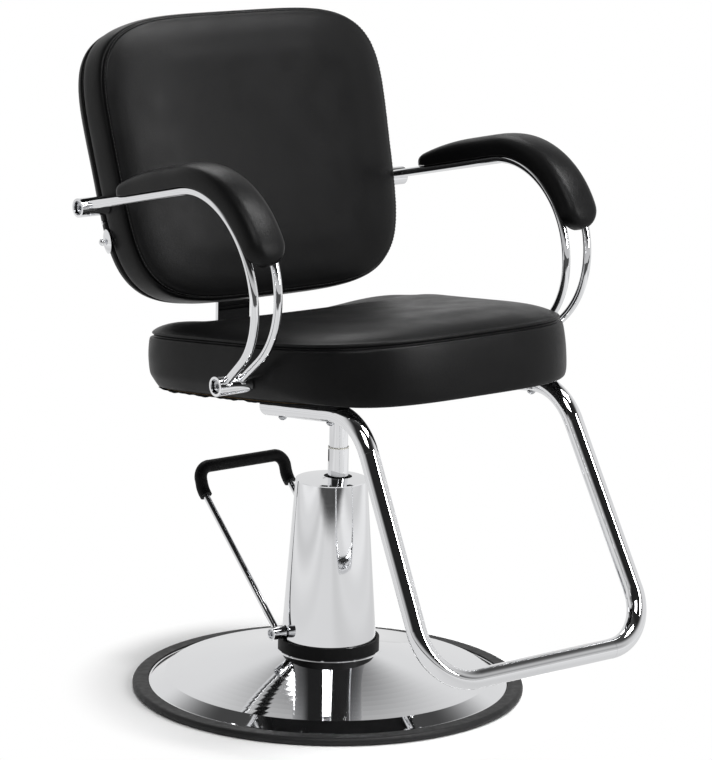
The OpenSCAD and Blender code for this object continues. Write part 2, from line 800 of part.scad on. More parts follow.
module footrest() {
  color(chrome) difference() {
    bent_tube(foot_path, [foot_top_bend, foot_low_bend, foot_low_bend, foot_top_bend], tube_r,
      tube_r - tube_t);
    on_seat() foot_bolt_places() translate([0, 0, -foot_corner / 2])
      cylinder(r = bolt_r + fit, h = foot_corner / 2, $fn = small_fn);
  }
}

module footrest_caps() {
  color(chrome) on_seat() for (x = [-1, 1]) translate([x * foot_top_w, -foot_tail, tube_z]) rotate(to_y) {
    dome(tube_r, plug_dome_h);
    translate([0, 0, -plug_stem_l]) cylinder(r = tube_r - tube_t - fit, h = plug_stem_l, $fn = round_fn);
  }
}

module footrest_bolts() {
  color(steel) on_seat() foot_bolt_places() translate([0, 0, tube_z - tube_r])
    dome_bolt(bolt_r, 2 * tube_r + clear + cloth_t + foot_bolt_depth, head_r, head_h);
}

// Seat
module seat_board() {
  color(ply) on_seat() difference() {
    linear_extrude(seat_board_t) polygon(flat(seat_ring(board_inset, 0)));
    fixing_holes();
    for (s = [-1, 1])
      translate([s * (seat_half_w - board_inset - arm_bolt_in - over), -arm_seat_y, arm_seat_z])
        rotate([0, s * 90, 0]) cylinder(r = arm_bolt_r + fit, h = seat_half_w, $fn = small_fn);
  }
}

module bar_bolt_places() {
  for (x = [-1, 1], y = [bar_bolt_1, bar_bolt_2]) translate([x * bar_bolt_x, y, 0]) children();
}

// Holes for every bolt that comes up into the board
module fixing_holes() {
  foot_bolt_places() translate([0, 0, -over])
    cylinder(r = bolt_r + fit, h = foot_bolt_depth + 2 * over, $fn = small_fn);
  plate_bolt_places() translate([0, 0, -over]) cylinder(r = bolt_r + fit, h = seat_board_t, $fn = small_fn);
  bar_bolt_places() translate([0, 0, -over]) cylinder(r = bolt_r + fit, h = seat_board_t, $fn = small_fn);
}

// Rings of the seat cushion: recess over the board, turned-under edge, side wall, seam and crown
seat_side_shares = [[0.4, 0.03], [0.1, 0.12], [0, 0.3], [0, 0.6], [0.25, 0.92], [0.65, 1]];
seat_crown_shares = [[0.976, 0.2], [0.955, 0.42], [0.92, 0.62], [0.87, 0.8], [0.79, 0.93], [0.66, 1],
  [0.48, 1], [0.25, 0.97]];
module seat_cushion() {
  hole = board_inset - clear;
  top = seat_seam_h + seat_crown * seat_crown_shares[len(seat_crown_shares) - 1][1];
  rings = concat(
    [seat_ring(hole, seat_board_t + clear), seat_ring(hole, clear), seat_ring(edge_turn, clear)],
    [for (q = seat_side_shares)
      seat_ring(edge_turn * q[0], seat_seam_h * q[1], edge = 1 - q[1], dip = seam_dip_share * q[1])],
    [for (q = seat_crown_shares)
      seat_ring(seat_half_w * (1 - q[0]), seat_seam_h + seat_crown * q[1], 1 - q[0],
        dip = seam_dip_share + (1 - seam_dip_share) * q[1])]);
  color(leather) on_seat()
    loft(rings, [0, seat_mid, seat_board_t + clear], [0, seat_mid, top]);
}

module dust_cover() {
  color(rubber) on_seat() translate([0, 0, -cloth_t]) difference() {
    linear_extrude(cloth_t) polygon(flat(seat_ring(edge_turn, 0)));
    fixing_holes();
  }
}

// Flat bar from under the seat board up behind the backrest
bar_z = -cloth_t - bar_t / 2;
bar_depth = rear_t + clear + bar_t / 2;
bar_kink = back_pt(0, bar_kink_v, -bar_depth);
bar_foot_y = (bar_kink.y - bar_z * sin(seat_tilt)) / cos(seat_tilt);
bar_path = [seat_pt(0, bar_front, bar_z), seat_pt(0, bar_foot_y, bar_z), bar_kink,
  back_pt(0, bar_end_v, -bar_depth)];

module back_bolt_places() {
  for (x = [-1, 1], v = [back_bolt_1, back_bolt_2]) translate([x * bar_bolt_x, v, 0]) children();
}

module back_bar() {
  color(chrome) difference() {
    bent(bar_path, [bar_bend, 4 * bar_bend]) {
      square([bar_t, bar_w], center = true);
      square([bar_t, bar_w] * (1 + swell_share), center = true);
    }
    on_seat() bar_bolt_places() translate([0, 0, -cloth_t - bar_t - over])
      cylinder(r = bolt_r + fit, h = bar_t + 2 * over, $fn = small_fn);
    on_back() back_bolt_places() translate([0, 0, -bar_depth - bar_t])
      cylinder(r = bolt_r + fit, h = 2 * bar_t, $fn = small_fn);
  }
}

module bar_bolts() {
  color(steel) {
    on_seat() bar_bolt_places() translate([0, 0, -cloth_t - bar_t])
      hex_bolt(bolt_r, bar_t + cloth_t + seat_board_t / 2, head_r, head_h);
    on_back() back_bolt_places() translate([0, 0, -bar_depth - bar_t / 2])
      hex_bolt(bolt_r, bar_depth + bar_t / 2 - board_mid_t, head_r, head_h);
  }
}

// Backrest
module back_board() {
  color(ply) on_back() difference() {
    translate([0, 0, -back_side_t]) linear_extrude(back_board_t) polygon(flat(back_ring(board_inset, 0)));
    back_bolt_places() translate([0, 0, -back_side_t - over])
      cylinder(r = bolt_r + fit, h = back_board_t, $fn = small_fn);
    for (s = [-1, 1])
      translate([s * (back_half_w - board_inset - arm_bolt_in - over), arm_back_v, -board_mid_t])
        rotate([0, s * 90, 0]) cylinder(r = arm_bolt_r + fit, h = back_half_w, $fn = small_fn);
  }
}

// Rings of the front cushion from the rear edge of its side wall, over the seam, to its crown
back_side_shares = [[0.42, -1], [0.2, -0.95], [0.05, -0.82], [0, -0.6], [0, -0.3], [0.1, -0.1], [0.42, 0],
  [0.38, 0.06]];
back_crown_shares = [[0.955, 0.35], [0.92, 0.52], [0.86, 0.7], [0.76, 0.85], [0.62, 0.94], [0.42, 0.99],
  [0.22, 1]];
module back_cushion() {
  t = back_side_t;
  hole = board_inset - clear;
  rings = concat(
    [back_ring(hole, back_board_t + clear - t), back_ring(hole, -t)],
    [for (q = back_side_shares) back_ring(board_inset * q[0], t * q[1])],
    [for (q = back_crown_shares) back_ring(back_half_w * (1 - q[0]), back_crown * q[1], 1 - q[0])]);
  color(leather) on_back() loft(rings, [0, back_mid, back_board_t + clear - t], [0, back_mid, back_crown]);
}

// Padded panel that closes the rear, rounded from its seam to its flat middle
rear_shares = [[0.22, 1], [0.45, 0.99], [0.66, 0.975], [0.8, 0.945], [0.88, 0.89], [0.925, 0.8],
  [0.955, 0.68], [0.973, 0.54], [0.985, 0.38], [0.99, 0.15]];
module back_panel() {
  t = back_side_t + clear;
  rings = concat(
    [for (q = rear_shares) back_ring(back_half_w * (1 - q[0]), -t - rear_crown * q[1], 1 - q[0])],
    [back_ring(board_inset * back_side_shares[0][0], -t)]);
  color(leather) on_back() loft(rings, [0, back_mid, -rear_t], [0, back_mid, -t]);
}

// Arms: world points of the sleeves' middles, and the rods' corner points in the plane across
arm_rear = back_pt(0, arm_back_v, -board_mid_t);
arm_low = seat_pt(0, -arm_seat_y, arm_seat_z);
rod_start = [0, arm_rear.y, arm_rear.z + rod_up];
rod_end = [0, arm_low.y, arm_low.z];
rod_corner = [0, -rod_front, rod_start.z + (rod_start.y + rod_front) * tan(rod_slope_angle)];
rod_knee = [0, -rod_front, rod_end.z + rod_low_rise];
rod_chord = unit(rod_end - rod_start);
function bow(p) = norm(cross(p - rod_start, rod_chord)) * tan(rod_splay);
function rod_out(p) = p + [rod_in_w + rod_gap + bow(p), 0, 0];
function rod_in(p) = p + [rod_in_w, 0, 0];
// Half width of the backrest's wall at a height of its own frame
function back_wall(v) = pow(1 - pow(abs(v - back_mid) / (back_len / 2), back_power), 1 / back_power)
  * (back_half_w + back_taper_share * v);
rear_in = back_wall(arm_back_v + sleeve_r) + clear;
low_in = seat_half_w + clear;

// Stations along the rods under a pad, counted from the pad's rear tip
rod_u = unit(rod_corner - rod_start);
rod_e = [0, rod_u.z, -rod_u.y];
rod_arc_start = rod_corner - rod_u * rod_bend * tan(turn(rod_start, rod_corner, rod_knee) / 2);
pad_len = pad_tail + rod_bend * pad_turn_angle * PI / 180;
function rod_angle(s) = max(0, s - pad_tail) / rod_bend * 180 / PI;
function rod_up_dir(s) = rod_e * cos(rod_angle(s)) + rod_u * sin(rod_angle(s));
function rod_along(s) = rod_u * cos(rod_angle(s)) - rod_e * sin(rod_angle(s));
function rod_point(s) = s < pad_tail ? rod_arc_start - rod_u * (pad_tail - s)
  : rod_arc_start + (rod_up_dir(s) - rod_e) * rod_bend;
function rod_span(s) = rod_gap + bow(rod_point(s));
module at_rods(s) {
  placed([-1, 0, 0], rod_along(s), rod_up_dir(s), rod_point(s) + [rod_in_w + rod_span(s) / 2, 0, 0])
    children();
}
module sides() {
  for (s = [0, 1]) on_ram() mirror([s, 0, 0]) children();
}
module left() { on_ram() children(); }
module right() { on_ram() mirror([1, 0, 0]) children(); }

module arm() {
  points = [rod_start, rod_corner, rod_knee, rod_end];
  tab_z = rod_r - tab_drop - tab_t;
  difference() {
    union() {
      for (q = [[rear_in, arm_rear], [low_in, arm_low]]) translate([q[0], q[1].y, q[1].z]) rotate(to_x)
        cylinder(r = sleeve_r, h = sleeve_out_w - q[0], $fn = round_fn);
      bent_bar([for (p = points) rod_in(p)], [rod_bend, rod_low_bend], rod_r);
      bent_bar([for (p = points) rod_out(p)], [rod_bend, rod_low_bend], rod_r);
      for (s = [tab_1, tab_2]) at_rods(s) translate([-rod_span(s) / 2, -tab_l / 2, tab_z])
        cube([rod_span(s), tab_l, tab_t]);
    }
    for (q = [arm_rear, arm_low]) translate([0, q.y, q.z]) rotate(to_x) {
      cylinder(r = arm_bolt_r + fit, h = sleeve_out_w + over, $fn = small_fn);
      translate([0, 0, sleeve_out_w - sleeve_bore_end])
        cylinder(r = socket_r, h = sleeve_bore_end + over, $fn = round_fn);
    }
    for (s = [tab_1, tab_2]) at_rods(s) cylinder(r = screw_r + fit, h = rod_r, $fn = small_fn);
  }
}
module left_arm() { color(chrome) left() arm(); }
module right_arm() { color(chrome) right() arm(); }

// Arm pad: rounded tips, crowned section, skirts that come down beside the rods
function pad_tip(s) = s < pad_rear_round ? sqrt(1 - pow(1 - s / pad_rear_round, 2))
  : s > pad_len - pad_front_round ? sqrt(1 - pow(1 - (pad_len - s) / pad_front_round, 2)) : 1;
function pad_skirt_at(s) = pad_skirt
  * min(1, max(0, min(s - pad_rear_round, pad_len - pad_front_round - s) / (2 * pad_skirt)));
// Thickness of a pad, which grows from its rear tip to its bend
function pad_full(s) = let (u = 1 - min(1, s / pad_taper))
  pad_t * (1 - (1 - pad_rear_share) * u * u);
// Half section of a pad: width as share of its half width or lip, height as share of its thickness
pad_lip_shares = [0.8, 0.25, 0];
pad_side_shares = [[1, 0.3], [0.96, 0.58], [0.84, 0.8], [0.62, 0.94], [0.3, 0.99]];
function pad_section(s) =
  let (f = pad_tip(s), h = (rod_span(s) / 2 + rod_r + pad_lip) * f, t = pad_full(s) * (1 + f) / 2,
       b = rod_r + pad_gap, low = b - pad_skirt_at(s), lip = pad_lip * f,
       half = concat([[h - lip + clear * f, b]], [for (q = pad_lip_shares) [h - q * lip, low]],
         [for (q = pad_side_shares) [h * q[0], b + t * q[1]]]))
  concat([[0, b]], half, [[0, b + t]], [for (k = [len(half) - 1 : -1 : 0]) [-half[k].x, half[k].y]]);
function pad_ring(s) = let (o = rod_point(s) + [rod_in_w + rod_span(s) / 2, 0, 0])
  [for (q = pad_section(s)) o + [q.x, 0, 0] + rod_up_dir(s) * q.y];
module arm_pad() {
  tip_turns = [14, 34, 54, 74];
  run = pad_len - pad_front_round - pad_tail;
  arc_steps = 13;
  stations = concat([for (a = tip_turns) pad_rear_round * (1 - cos(a))],
    [pad_rear_round, pad_rear_round + 2 * pad_skirt],
    [for (k = [1 : 4]) pad_rear_round + (pad_taper - pad_rear_round) * k / 4],
    [for (k = [0 : arc_steps]) pad_tail + run * k / arc_steps - 2 * pad_skirt * (k == arc_steps ? 1 : 0)],
    [pad_len - pad_front_round - pad_skirt, pad_len - pad_front_round],
    [for (k = [3 : -1 : 0]) pad_len - pad_front_round * (1 - cos(tip_turns[k]))]);
  middle = [rod_in_w, 0, 0];
  loft([for (s = stations) pad_ring(s)],
    rod_point(0) + middle + [rod_span(0) / 2, 0, 0] + rod_up_dir(0) * (rod_r + pad_gap + pad_full(0) / 4),
    rod_point(pad_len) + middle + [rod_span(pad_len) / 2, 0, 0]
      + rod_up_dir(pad_len) * (rod_r + pad_gap + pad_t / 4));
}
module left_arm_pad() { color(leather) left() arm_pad(); }
module right_arm_pad() { color(leather) right() arm_pad(); }

module pad_screws() {
  tab_under = rod_r - tab_drop - tab_t;
  color(steel) sides() for (s = [tab_1, tab_2]) at_rods(s) translate([0, 0, tab_under])
    socket_screw(screw_r, tab_t + tab_drop + pad_gap + pad_screw_in, 2 * screw_r, screw_r);
}

module arm_bolts() {
  seat_face = sleeve_out_w - sleeve_bore_end;
  color(steel) sides() for (q = [[arm_rear, back_half_w], [arm_low, seat_half_w]])
    translate([seat_face, q[0].y, q[0].z]) rotate([0, -90, 0])
      socket_screw(arm_bolt_r, seat_face - q[1] + board_inset + arm_bolt_in, socket_head_r, socket_head_h);
}

// Washer and screws on the right side of the backrest
module dome(r, h) {
  sphere_r = (r * r + h * h) / (2 * h);
  intersection() {
    cylinder(r = r, h = h, $fn = round_fn);
    translate([0, 0, h - sphere_r]) sphere(r = sphere_r, $fn = fine);
  }
}
module at_side(v, turned) {
  on_back() translate([-back_wall(v) + side_sink, v, -back_side_t - side_back])
    rotate([0, -90 - turned, 0]) children();
}
module side_washer() {
  color(chrome) at_side(side_v, side_turn_angle) difference() {
    dome(side_r, side_dish);
    translate([0, 0, -side_t]) dome(side_r - side_t, side_dish);
    translate([0, 0, -over]) cylinder(r = screw_r + fit, h = side_dish + 2 * over, $fn = small_fn);
  }
}
module side_screws() {
  color(chrome) {
    at_side(side_v, side_turn_angle) {
      translate([0, 0, -side_screw_in])
        cylinder(r = screw_r, h = side_screw_in + knob_neck + over, $fn = small_fn);
      translate([0, 0, knob_neck]) dome(knob_r, knob_r);
    }
    at_side(small_screw_v, side_turn_angle) {
      translate([0, 0, -side_screw_in]) cylinder(r = screw_r, h = side_screw_in + over / 2, $fn = small_fn);
      dome(small_screw_r, small_screw_r / 2);
    }
  }
}

base_plate();
base_pan();
base_rim();
pump_body();
pump_bolts();
guide_bush();
gland_nut();
wiper_seal();
plunger_spring();
cover_ring();
column_cover();
cover_cap();
lever_shaft();
foot_lever();
lever_grip();
lever_screws();
lever_rocker();
pump_plunger();
ram();
ram_piston();
piston_seals();
thrust_washer();
post();
mount_plate();
plate_bolts();
footrest();
footrest_caps();
footrest_bolts();
seat_board();
seat_cushion();
dust_cover();
back_bar();
bar_bolts();
back_board();
back_cushion();
back_panel();
left_arm();
right_arm();
left_arm_pad();
right_arm_pad();
pad_screws();
arm_bolts();
side_washer();
side_screws();
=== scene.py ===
"""Hydraulic hairdressing chair: leather, chrome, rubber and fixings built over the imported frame."""
import math

import bmesh
import bpy
import numpy as np
from bpy.props import FloatProperty, FloatVectorProperty, IntProperty, PointerProperty
from mathutils import Matrix, Vector, noise
from mathutils.bvhtree import BVHTree


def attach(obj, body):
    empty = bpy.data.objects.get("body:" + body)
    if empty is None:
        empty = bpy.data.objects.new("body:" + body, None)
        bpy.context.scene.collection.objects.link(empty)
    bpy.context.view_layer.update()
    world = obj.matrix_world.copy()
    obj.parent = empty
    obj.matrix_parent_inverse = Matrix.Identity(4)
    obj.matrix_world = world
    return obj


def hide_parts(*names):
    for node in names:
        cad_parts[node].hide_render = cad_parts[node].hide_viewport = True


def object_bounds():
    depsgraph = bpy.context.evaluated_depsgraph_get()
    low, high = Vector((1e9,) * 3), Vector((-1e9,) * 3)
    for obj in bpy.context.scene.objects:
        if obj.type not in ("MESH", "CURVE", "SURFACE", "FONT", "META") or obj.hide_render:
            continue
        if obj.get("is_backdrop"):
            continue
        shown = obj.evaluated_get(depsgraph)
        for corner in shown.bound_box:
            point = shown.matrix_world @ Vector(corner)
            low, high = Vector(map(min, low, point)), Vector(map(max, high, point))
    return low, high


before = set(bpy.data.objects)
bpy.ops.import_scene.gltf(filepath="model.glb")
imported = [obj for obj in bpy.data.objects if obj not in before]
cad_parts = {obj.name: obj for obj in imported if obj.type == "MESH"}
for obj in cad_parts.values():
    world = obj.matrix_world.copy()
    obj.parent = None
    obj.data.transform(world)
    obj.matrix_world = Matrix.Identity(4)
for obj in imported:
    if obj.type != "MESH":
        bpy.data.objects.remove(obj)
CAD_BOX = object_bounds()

bl_info = {
    "name": "Hairdressing chair",
    "version": (1, 0, 0),
    "blender": (4, 5, 0),
    "location": "3D View > Sidebar > Chair",
    "description": "Makes the pieces and finishes of a hydraulic hairdressing chair",
    "category": "Add Mesh",
}


# Sizes and colours that a user may change


def colour_value(name, description, default):
    return FloatVectorProperty(name=name, description=description, default=default, subtype="COLOR", min=0, max=1)


def share_value(name, description, default):
    return FloatProperty(name=name, description=description, default=default, min=0, max=1)


def length_value(name, description, default):
    return FloatProperty(name=name, description=description, default=default, unit="LENGTH")


def angle_value(name, description, degrees):
    return FloatProperty(name=name, description=description, default=math.radians(degrees), unit="ROTATION")


class LeatherLooks(bpy.types.PropertyGroup):
    """Colour and surface of the leather."""

    colour: colour_value("Leather colour", "Colour of the leather", (0.004, 0.004, 0.0042))
    roughness: share_value("Leather roughness", "How dull the leather is", 0.36)
    shine: share_value("Leather shine", "How strongly the leather mirrors light", 0.12)
    grain: length_value("Grain size", "Width of one pebble of the grain", 0.0011)
    grain_depth: length_value("Grain depth", "Depth of the grain", 0.00006)
    thread: colour_value("Thread colour", "Colour of the sewing thread", (0.014, 0.014, 0.015))


class MetalLooks(bpy.types.PropertyGroup):
    """Colours and surfaces of the metals and the rubber."""

    chrome: colour_value("Chrome colour", "Colour of the chrome", (0.84, 0.845, 0.86))
    chrome_roughness: share_value("Chrome roughness", "How dull the chrome is", 0.03)
    steel: colour_value("Steel colour", "Colour of the zinc plated steel", (0.52, 0.53, 0.55))
    iron: colour_value("Iron colour", "Colour of the painted iron", (0.035, 0.036, 0.038))
    rubber: colour_value("Rubber colour", "Colour of the rubber", (0.008, 0.008, 0.0085))


class CushionSizes(bpy.types.PropertyGroup):
    """Sizes of the cushions' leather and seams."""

    around: IntProperty(
        name="Points around", description="Points around a cushion, a multiple of four", default=240, min=80,
    )
    swell: length_value("Swell", "How far the leather may be blown out by its filling", 0.0025)
    pressure: FloatProperty(
        name="Pressure", description="Pressure of the filling on the leather", default=4.0, min=0,
    )
    seam_depth: length_value("Seam depth", "How far a seam is drawn in", 0.0022)
    stitch_pitch: length_value("Stitch pitch", "Distance from one stitch to the next", 0.0055)
    stitch_length: length_value("Stitch length", "Length of thread that one stitch shows", 0.0038)
    thread_r: length_value("Thread radius", "Radius of the sewing thread", 0.0004)
    seed: IntProperty(name="Seed", description="Seed of the small folds and stitches", default=7)


class StudioLooks(bpy.types.PropertyGroup):
    """Lights, floor and camera."""

    floor: colour_value("Floor colour", "Colour of the floor", (0.95, 0.95, 0.95))
    air: FloatProperty(name="Air light", description="Even light from all round", default=0.34, min=0)
    focal_px: FloatProperty(
        name="Focal length", description="Focal length in pixels of the picture", default=3412.0,
    )
    eye: FloatVectorProperty(
        name="Eye", description="Place of the camera", default=(-3.0447, -3.8384, 1.5183), unit="LENGTH",
    )
    azimuth: angle_value("Azimuth", "Heading of the view from +Y", 38.81)
    pitch: angle_value("Pitch", "Angle that the view looks down", 12.09)
    roll: angle_value("Roll", "Roll of the camera", 1.15)


# The chair's own measures, in metres, as the solids have them

RAM_X = 0.012
SEAT_H, SEAT_TILT = 0.472, math.radians(6.5)
SEAT_HALF_W, SEAT_FRONT, SEAT_REAR = 0.249, 0.325, 0.204
SEAT_SEAM_H, SEAT_CROWN, SEAT_DIP, FRONT_DROP = 0.078, 0.025, 0.020, 0.012
SEAT_BOARD_T, BOARD_INSET, EDGE_TURN, EDGE_RISE = 0.038, 0.014, 0.010, 0.012
BACK_HALF_W, BACK_LEN, BACK_SIDE_T, BACK_CROWN, REAR_CROWN = 0.256, 0.432, 0.052, 0.024, 0.038
BACK_LEAN, BACK_BOARD_T, BACK_LOW = math.radians(16), 0.020, 0.150
BACK_Z = 0.716
BACK_Y = 0.236 - (BACK_SIDE_T - BACK_BOARD_T / 2) / math.cos(BACK_LEAN)
CLEAR = 0.0003
SEAT_SIDE = [(0.4, 0.03), (0.1, 0.12), (0, 0.3), (0, 0.6), (0.25, 0.92), (0.65, 1)]
SEAT_TOP = [(0.976, 0.2), (0.955, 0.42), (0.92, 0.62), (0.87, 0.8), (0.79, 0.93), (0.66, 1), (0.48, 1),
            (0.25, 0.97)]
BACK_SIDE = [(0.42, -1), (0.2, -0.95), (0.05, -0.82), (0, -0.6), (0, -0.3), (0.1, -0.1), (0.42, 0)]
BACK_FRONT = [(0.38, 0.06), (0.955, 0.35), (0.92, 0.52), (0.86, 0.7), (0.76, 0.85), (0.62, 0.94), (0.42, 0.99),
              (0.22, 1)]
BACK_REAR = [(0.22, 1), (0.45, 0.99), (0.66, 0.975), (0.8, 0.945), (0.88, 0.89), (0.925, 0.8), (0.955, 0.68),
             (0.973, 0.54), (0.985, 0.38), (0.99, 0.15)]

# How full the outlines' corners are, and how much the backrest widens upwards
SEAT_FRONT_POWER, SEAT_REAR_POWER, BACK_POWER, BACK_WIDENS = 3.3, 5.4, 4.5, 0.05
# Where the seat's front edge starts to drop, and where its dip starts, ends at the sides and how it fades there
DROP_FROM, DIP_FROM, DIP_OUT, DIP_FADE, SEAM_DIP = 0.130, 0.010, 0.260, 0.180, 0.4
# Insets of the innermost rows, as shares of the half widths, and how low the seat's middle lies
SEAT_FILL, BACK_FILL, REAR_FILL, MIDDLE_LOW = 0.34, 0.38, 0.34, 0.035

# Width and reach of a seam's crease and folds, the strip beside it that the filling leaves, and the rows' spacing
CREASE_W, FOLD_REACH, FOLD_DEPTH, FOLD_SCALE = 0.0016, 0.009, 0.0005, 150
HELD_STRIP, ROW_PITCH, SIDE_PITCH, SEAM_ZONE, STITCH_IN = 0.0068, 0.0075, 0.007, 0.022, 0.0038
FILL_FRAMES, EVEN_ROUNDS, PAD_SWELL = 12, 20, 0.4


def smooth(u):
    u = np.clip(u, 0, 1)
    return u * u * (3 - 2 * u)


def polar(t, a, b, p):
    return ((np.abs(np.cos(t)) / a) ** p + (np.abs(np.sin(t)) / b) ** p) ** (-1 / p)


def seat_loop(count, inset, z, p_drop=0.0, edge=0.0, dip=0.0):
    """One loop of the seat cushion in the seat's own frame."""
    t = np.linspace(0, 2 * math.pi, count, endpoint=False) + math.pi / 4
    p = np.where(np.sin(t) < 0, SEAT_FRONT_POWER, SEAT_REAR_POWER) - p_drop
    half_d, mid = (SEAT_REAR + SEAT_FRONT) / 2, (SEAT_REAR - SEAT_FRONT) / 2
    r = polar(t, SEAT_HALF_W - inset, half_d - inset, p)
    x, y = r * np.cos(t), mid + r * np.sin(t)
    return np.stack([x, y, z + edge * seat_edge(y) - dip * SEAT_DIP * seat_dip_at(x, y)], 1)


def seat_edge(y):
    return EDGE_RISE - (EDGE_RISE + FRONT_DROP) * smooth((-y - DROP_FROM) / (SEAT_FRONT - DROP_FROM))


def seat_dip_at(x, y):
    return smooth((y + DIP_FROM) / (SEAT_REAR / 2 + DIP_FROM)) * smooth((DIP_OUT - np.abs(x)) / DIP_FADE)


def back_loop(count, inset, z, p_drop=0.0):
    """One loop of the backrest in its own frame."""
    t = np.linspace(0, 2 * math.pi, count, endpoint=False) + math.pi / 4
    mid = BACK_LEN / 2 - BACK_LOW
    r = polar(t, BACK_HALF_W - inset, BACK_LEN / 2 - inset, BACK_POWER - p_drop)
    v = mid + r * np.sin(t)
    return np.stack([r * np.cos(t) * (1 + BACK_WIDENS * v / BACK_HALF_W), v, np.full(count, z)], 1)


def seat_world(p):
    c, s = math.cos(SEAT_TILT), math.sin(SEAT_TILT)
    return np.stack([RAM_X + p[:, 0], p[:, 1] * c + p[:, 2] * s, SEAT_H - p[:, 1] * s + p[:, 2] * c], 1)


def back_world(p):
    c, s = math.cos(BACK_LEAN), math.sin(BACK_LEAN)
    return np.stack([RAM_X + p[:, 0], BACK_Y + p[:, 1] * s - p[:, 2] * c, BACK_Z + p[:, 1] * c + p[:, 2] * s], 1)


def curve_through(points, steps, ahead=None):
    """Smooth curve through rows of numbers, sampled at the shares in steps of its whole length; ahead is a point past
    its end that only steers it."""
    p = np.array(points, float)
    p = np.vstack([2 * p[0] - p[1], p, 2 * p[-1] - p[-2] if ahead is None else ahead])
    dense = []
    for i in range(1, len(p) - 2):
        a, b, c, d = p[i - 1 : i + 3]
        ta, tc = (c - a) / 2, (d - b) / 2
        lim = np.linalg.norm(c[:2] - b[:2]) + 1e-9
        ta = ta * min(1, 1.5 * lim / (np.linalg.norm(ta[:2]) + 1e-12))
        tc = tc * min(1, 1.5 * lim / (np.linalg.norm(tc[:2]) + 1e-12))
        for u in np.linspace(0, 1, 24, endpoint=False):
            h = (2 * u**3 - 3 * u**2 + 1, u**3 - 2 * u**2 + u, -2 * u**3 + 3 * u**2, u**3 - u**2)
            dense.append(h[0] * b + h[1] * ta + h[2] * c + h[3] * tc)
    dense = np.array(dense + [p[-2]])
    length = np.r_[0, np.cumsum(np.linalg.norm(np.diff(dense[:, :2], axis=0), axis=1))]
    at = np.array(steps) * length[-1]
    return np.stack([np.interp(at, length, dense[:, k]) for k in range(dense.shape[1])], 1), length[-1]


# Making meshes


def linked(name, data):
    """A new object in the scene."""
    obj = bpy.data.objects.new(name, data)
    bpy.context.scene.collection.objects.link(obj)
    return obj


def new_piece(name, points, faces, material, weld=True):
    """A closed mesh with its faces outwards, smooth, at the origin."""
    mesh = bpy.data.meshes.new(name)
    mesh.from_pydata([tuple(p) for p in points], [], faces)
    bm = bmesh.new()
    bm.from_mesh(mesh)
    if weld:
        bmesh.ops.remove_doubles(bm, verts=bm.verts, dist=1e-7)
    bmesh.ops.recalc_face_normals(bm, faces=bm.faces)
    bm.to_mesh(mesh)
    bm.free()
    mesh.shade_smooth()
    mesh.materials.append(material)
    return linked(name, mesh)


def coordinates(mesh):
    co = np.zeros(len(mesh.vertices) * 3)
    mesh.vertices.foreach_get("co", co)
    return co.reshape(-1, 3)


def set_coordinates(mesh, co):
    mesh.vertices.foreach_set("co", np.asarray(co, float).ravel())
    mesh.update()


def normals(mesh):
    no = np.zeros(len(mesh.vertices) * 3)
    mesh.vertices.foreach_get("normal", no)
    return no.reshape(-1, 3)


def applied(obj):
    """The object's mesh with its modifiers applied and removed."""
    depsgraph = bpy.context.evaluated_depsgraph_get()
    mesh = bpy.data.meshes.new_from_object(obj.evaluated_get(depsgraph), depsgraph=depsgraph)
    obj.modifiers.clear()
    old, obj.data = obj.data, mesh
    bpy.data.meshes.remove(old)
    return obj


def subdivided(obj, levels):
    mod = obj.modifiers.new("Subdivision", "SUBSURF")
    mod.levels = mod.render_levels = levels
    applied(obj)
    obj.data.shade_smooth()
    return obj


def panel_grid(loop, first):
    """Points and faces that fill a closed loop of points with a grid; first is the index of the loop's first point."""
    count = len(loop)
    n = count // 4
    side = [np.vstack([loop[k * n : (k + 1) * n], loop[((k + 1) * n) % count][None]]) for k in range(4)]
    a, b, c, d = side[0], side[1], side[2][::-1], side[3][::-1]
    u = (np.arange(n + 1) / n)[:, None, None]
    w = (np.arange(n + 1) / n)[None, :, None]
    grid = (1 - w) * a[:, None] + w * c[:, None] + (1 - u) * d[None] + u * b[None]
    grid -= (1 - u) * (1 - w) * a[0] + u * (1 - w) * a[-1] + (1 - u) * w * c[0] + u * w * c[-1]
    index = np.zeros((n + 1, n + 1), int)
    start = first + count
    index[1:n, 1:n] = start + np.arange((n - 1) ** 2).reshape(n - 1, n - 1)
    index[:, 0] = first + np.arange(n + 1)
    index[n, :] = first + n + np.arange(n + 1)
    index[::-1, n] = first + 2 * n + np.arange(n + 1)
    index[0, ::-1] = first + (3 * n + np.arange(n + 1)) % count
    faces = [(index[i, j], index[i + 1, j], index[i + 1, j + 1], index[i, j + 1])
             for i in range(n) for j in range(n)]
    return grid[1:n, 1:n].reshape(-1, 3), faces


def skin(rows, close_first, close_last):
    """Points and quads through rows of equal count; an end is closed by a point, or by a grid where it is a function
    that gives the grid's points their places."""
    count, faces = len(rows[0]), []
    points = [np.vstack(rows)]
    for i in range(len(rows) - 1):
        for j in range(count):
            k = (j + 1) % count
            faces.append((i * count + j, i * count + k, (i + 1) * count + k, (i + 1) * count + j))
    for end, close in ((0, close_first), (len(rows) - 1, close_last)):
        total = sum(len(p) for p in points)
        if close is None:
            continue
        if callable(close):
            inner, cells = panel_grid(rows[end], 0)
            faces += [tuple(int(end * count + v if v < count else total + v - count) for v in cell) for cell in cells]
            points.append(close(inner))
        else:
            points.append(np.array([close]))
            faces += [(end * count + j, end * count + (j + 1) % count, total) for j in range(count)]
    return np.vstack(points), faces


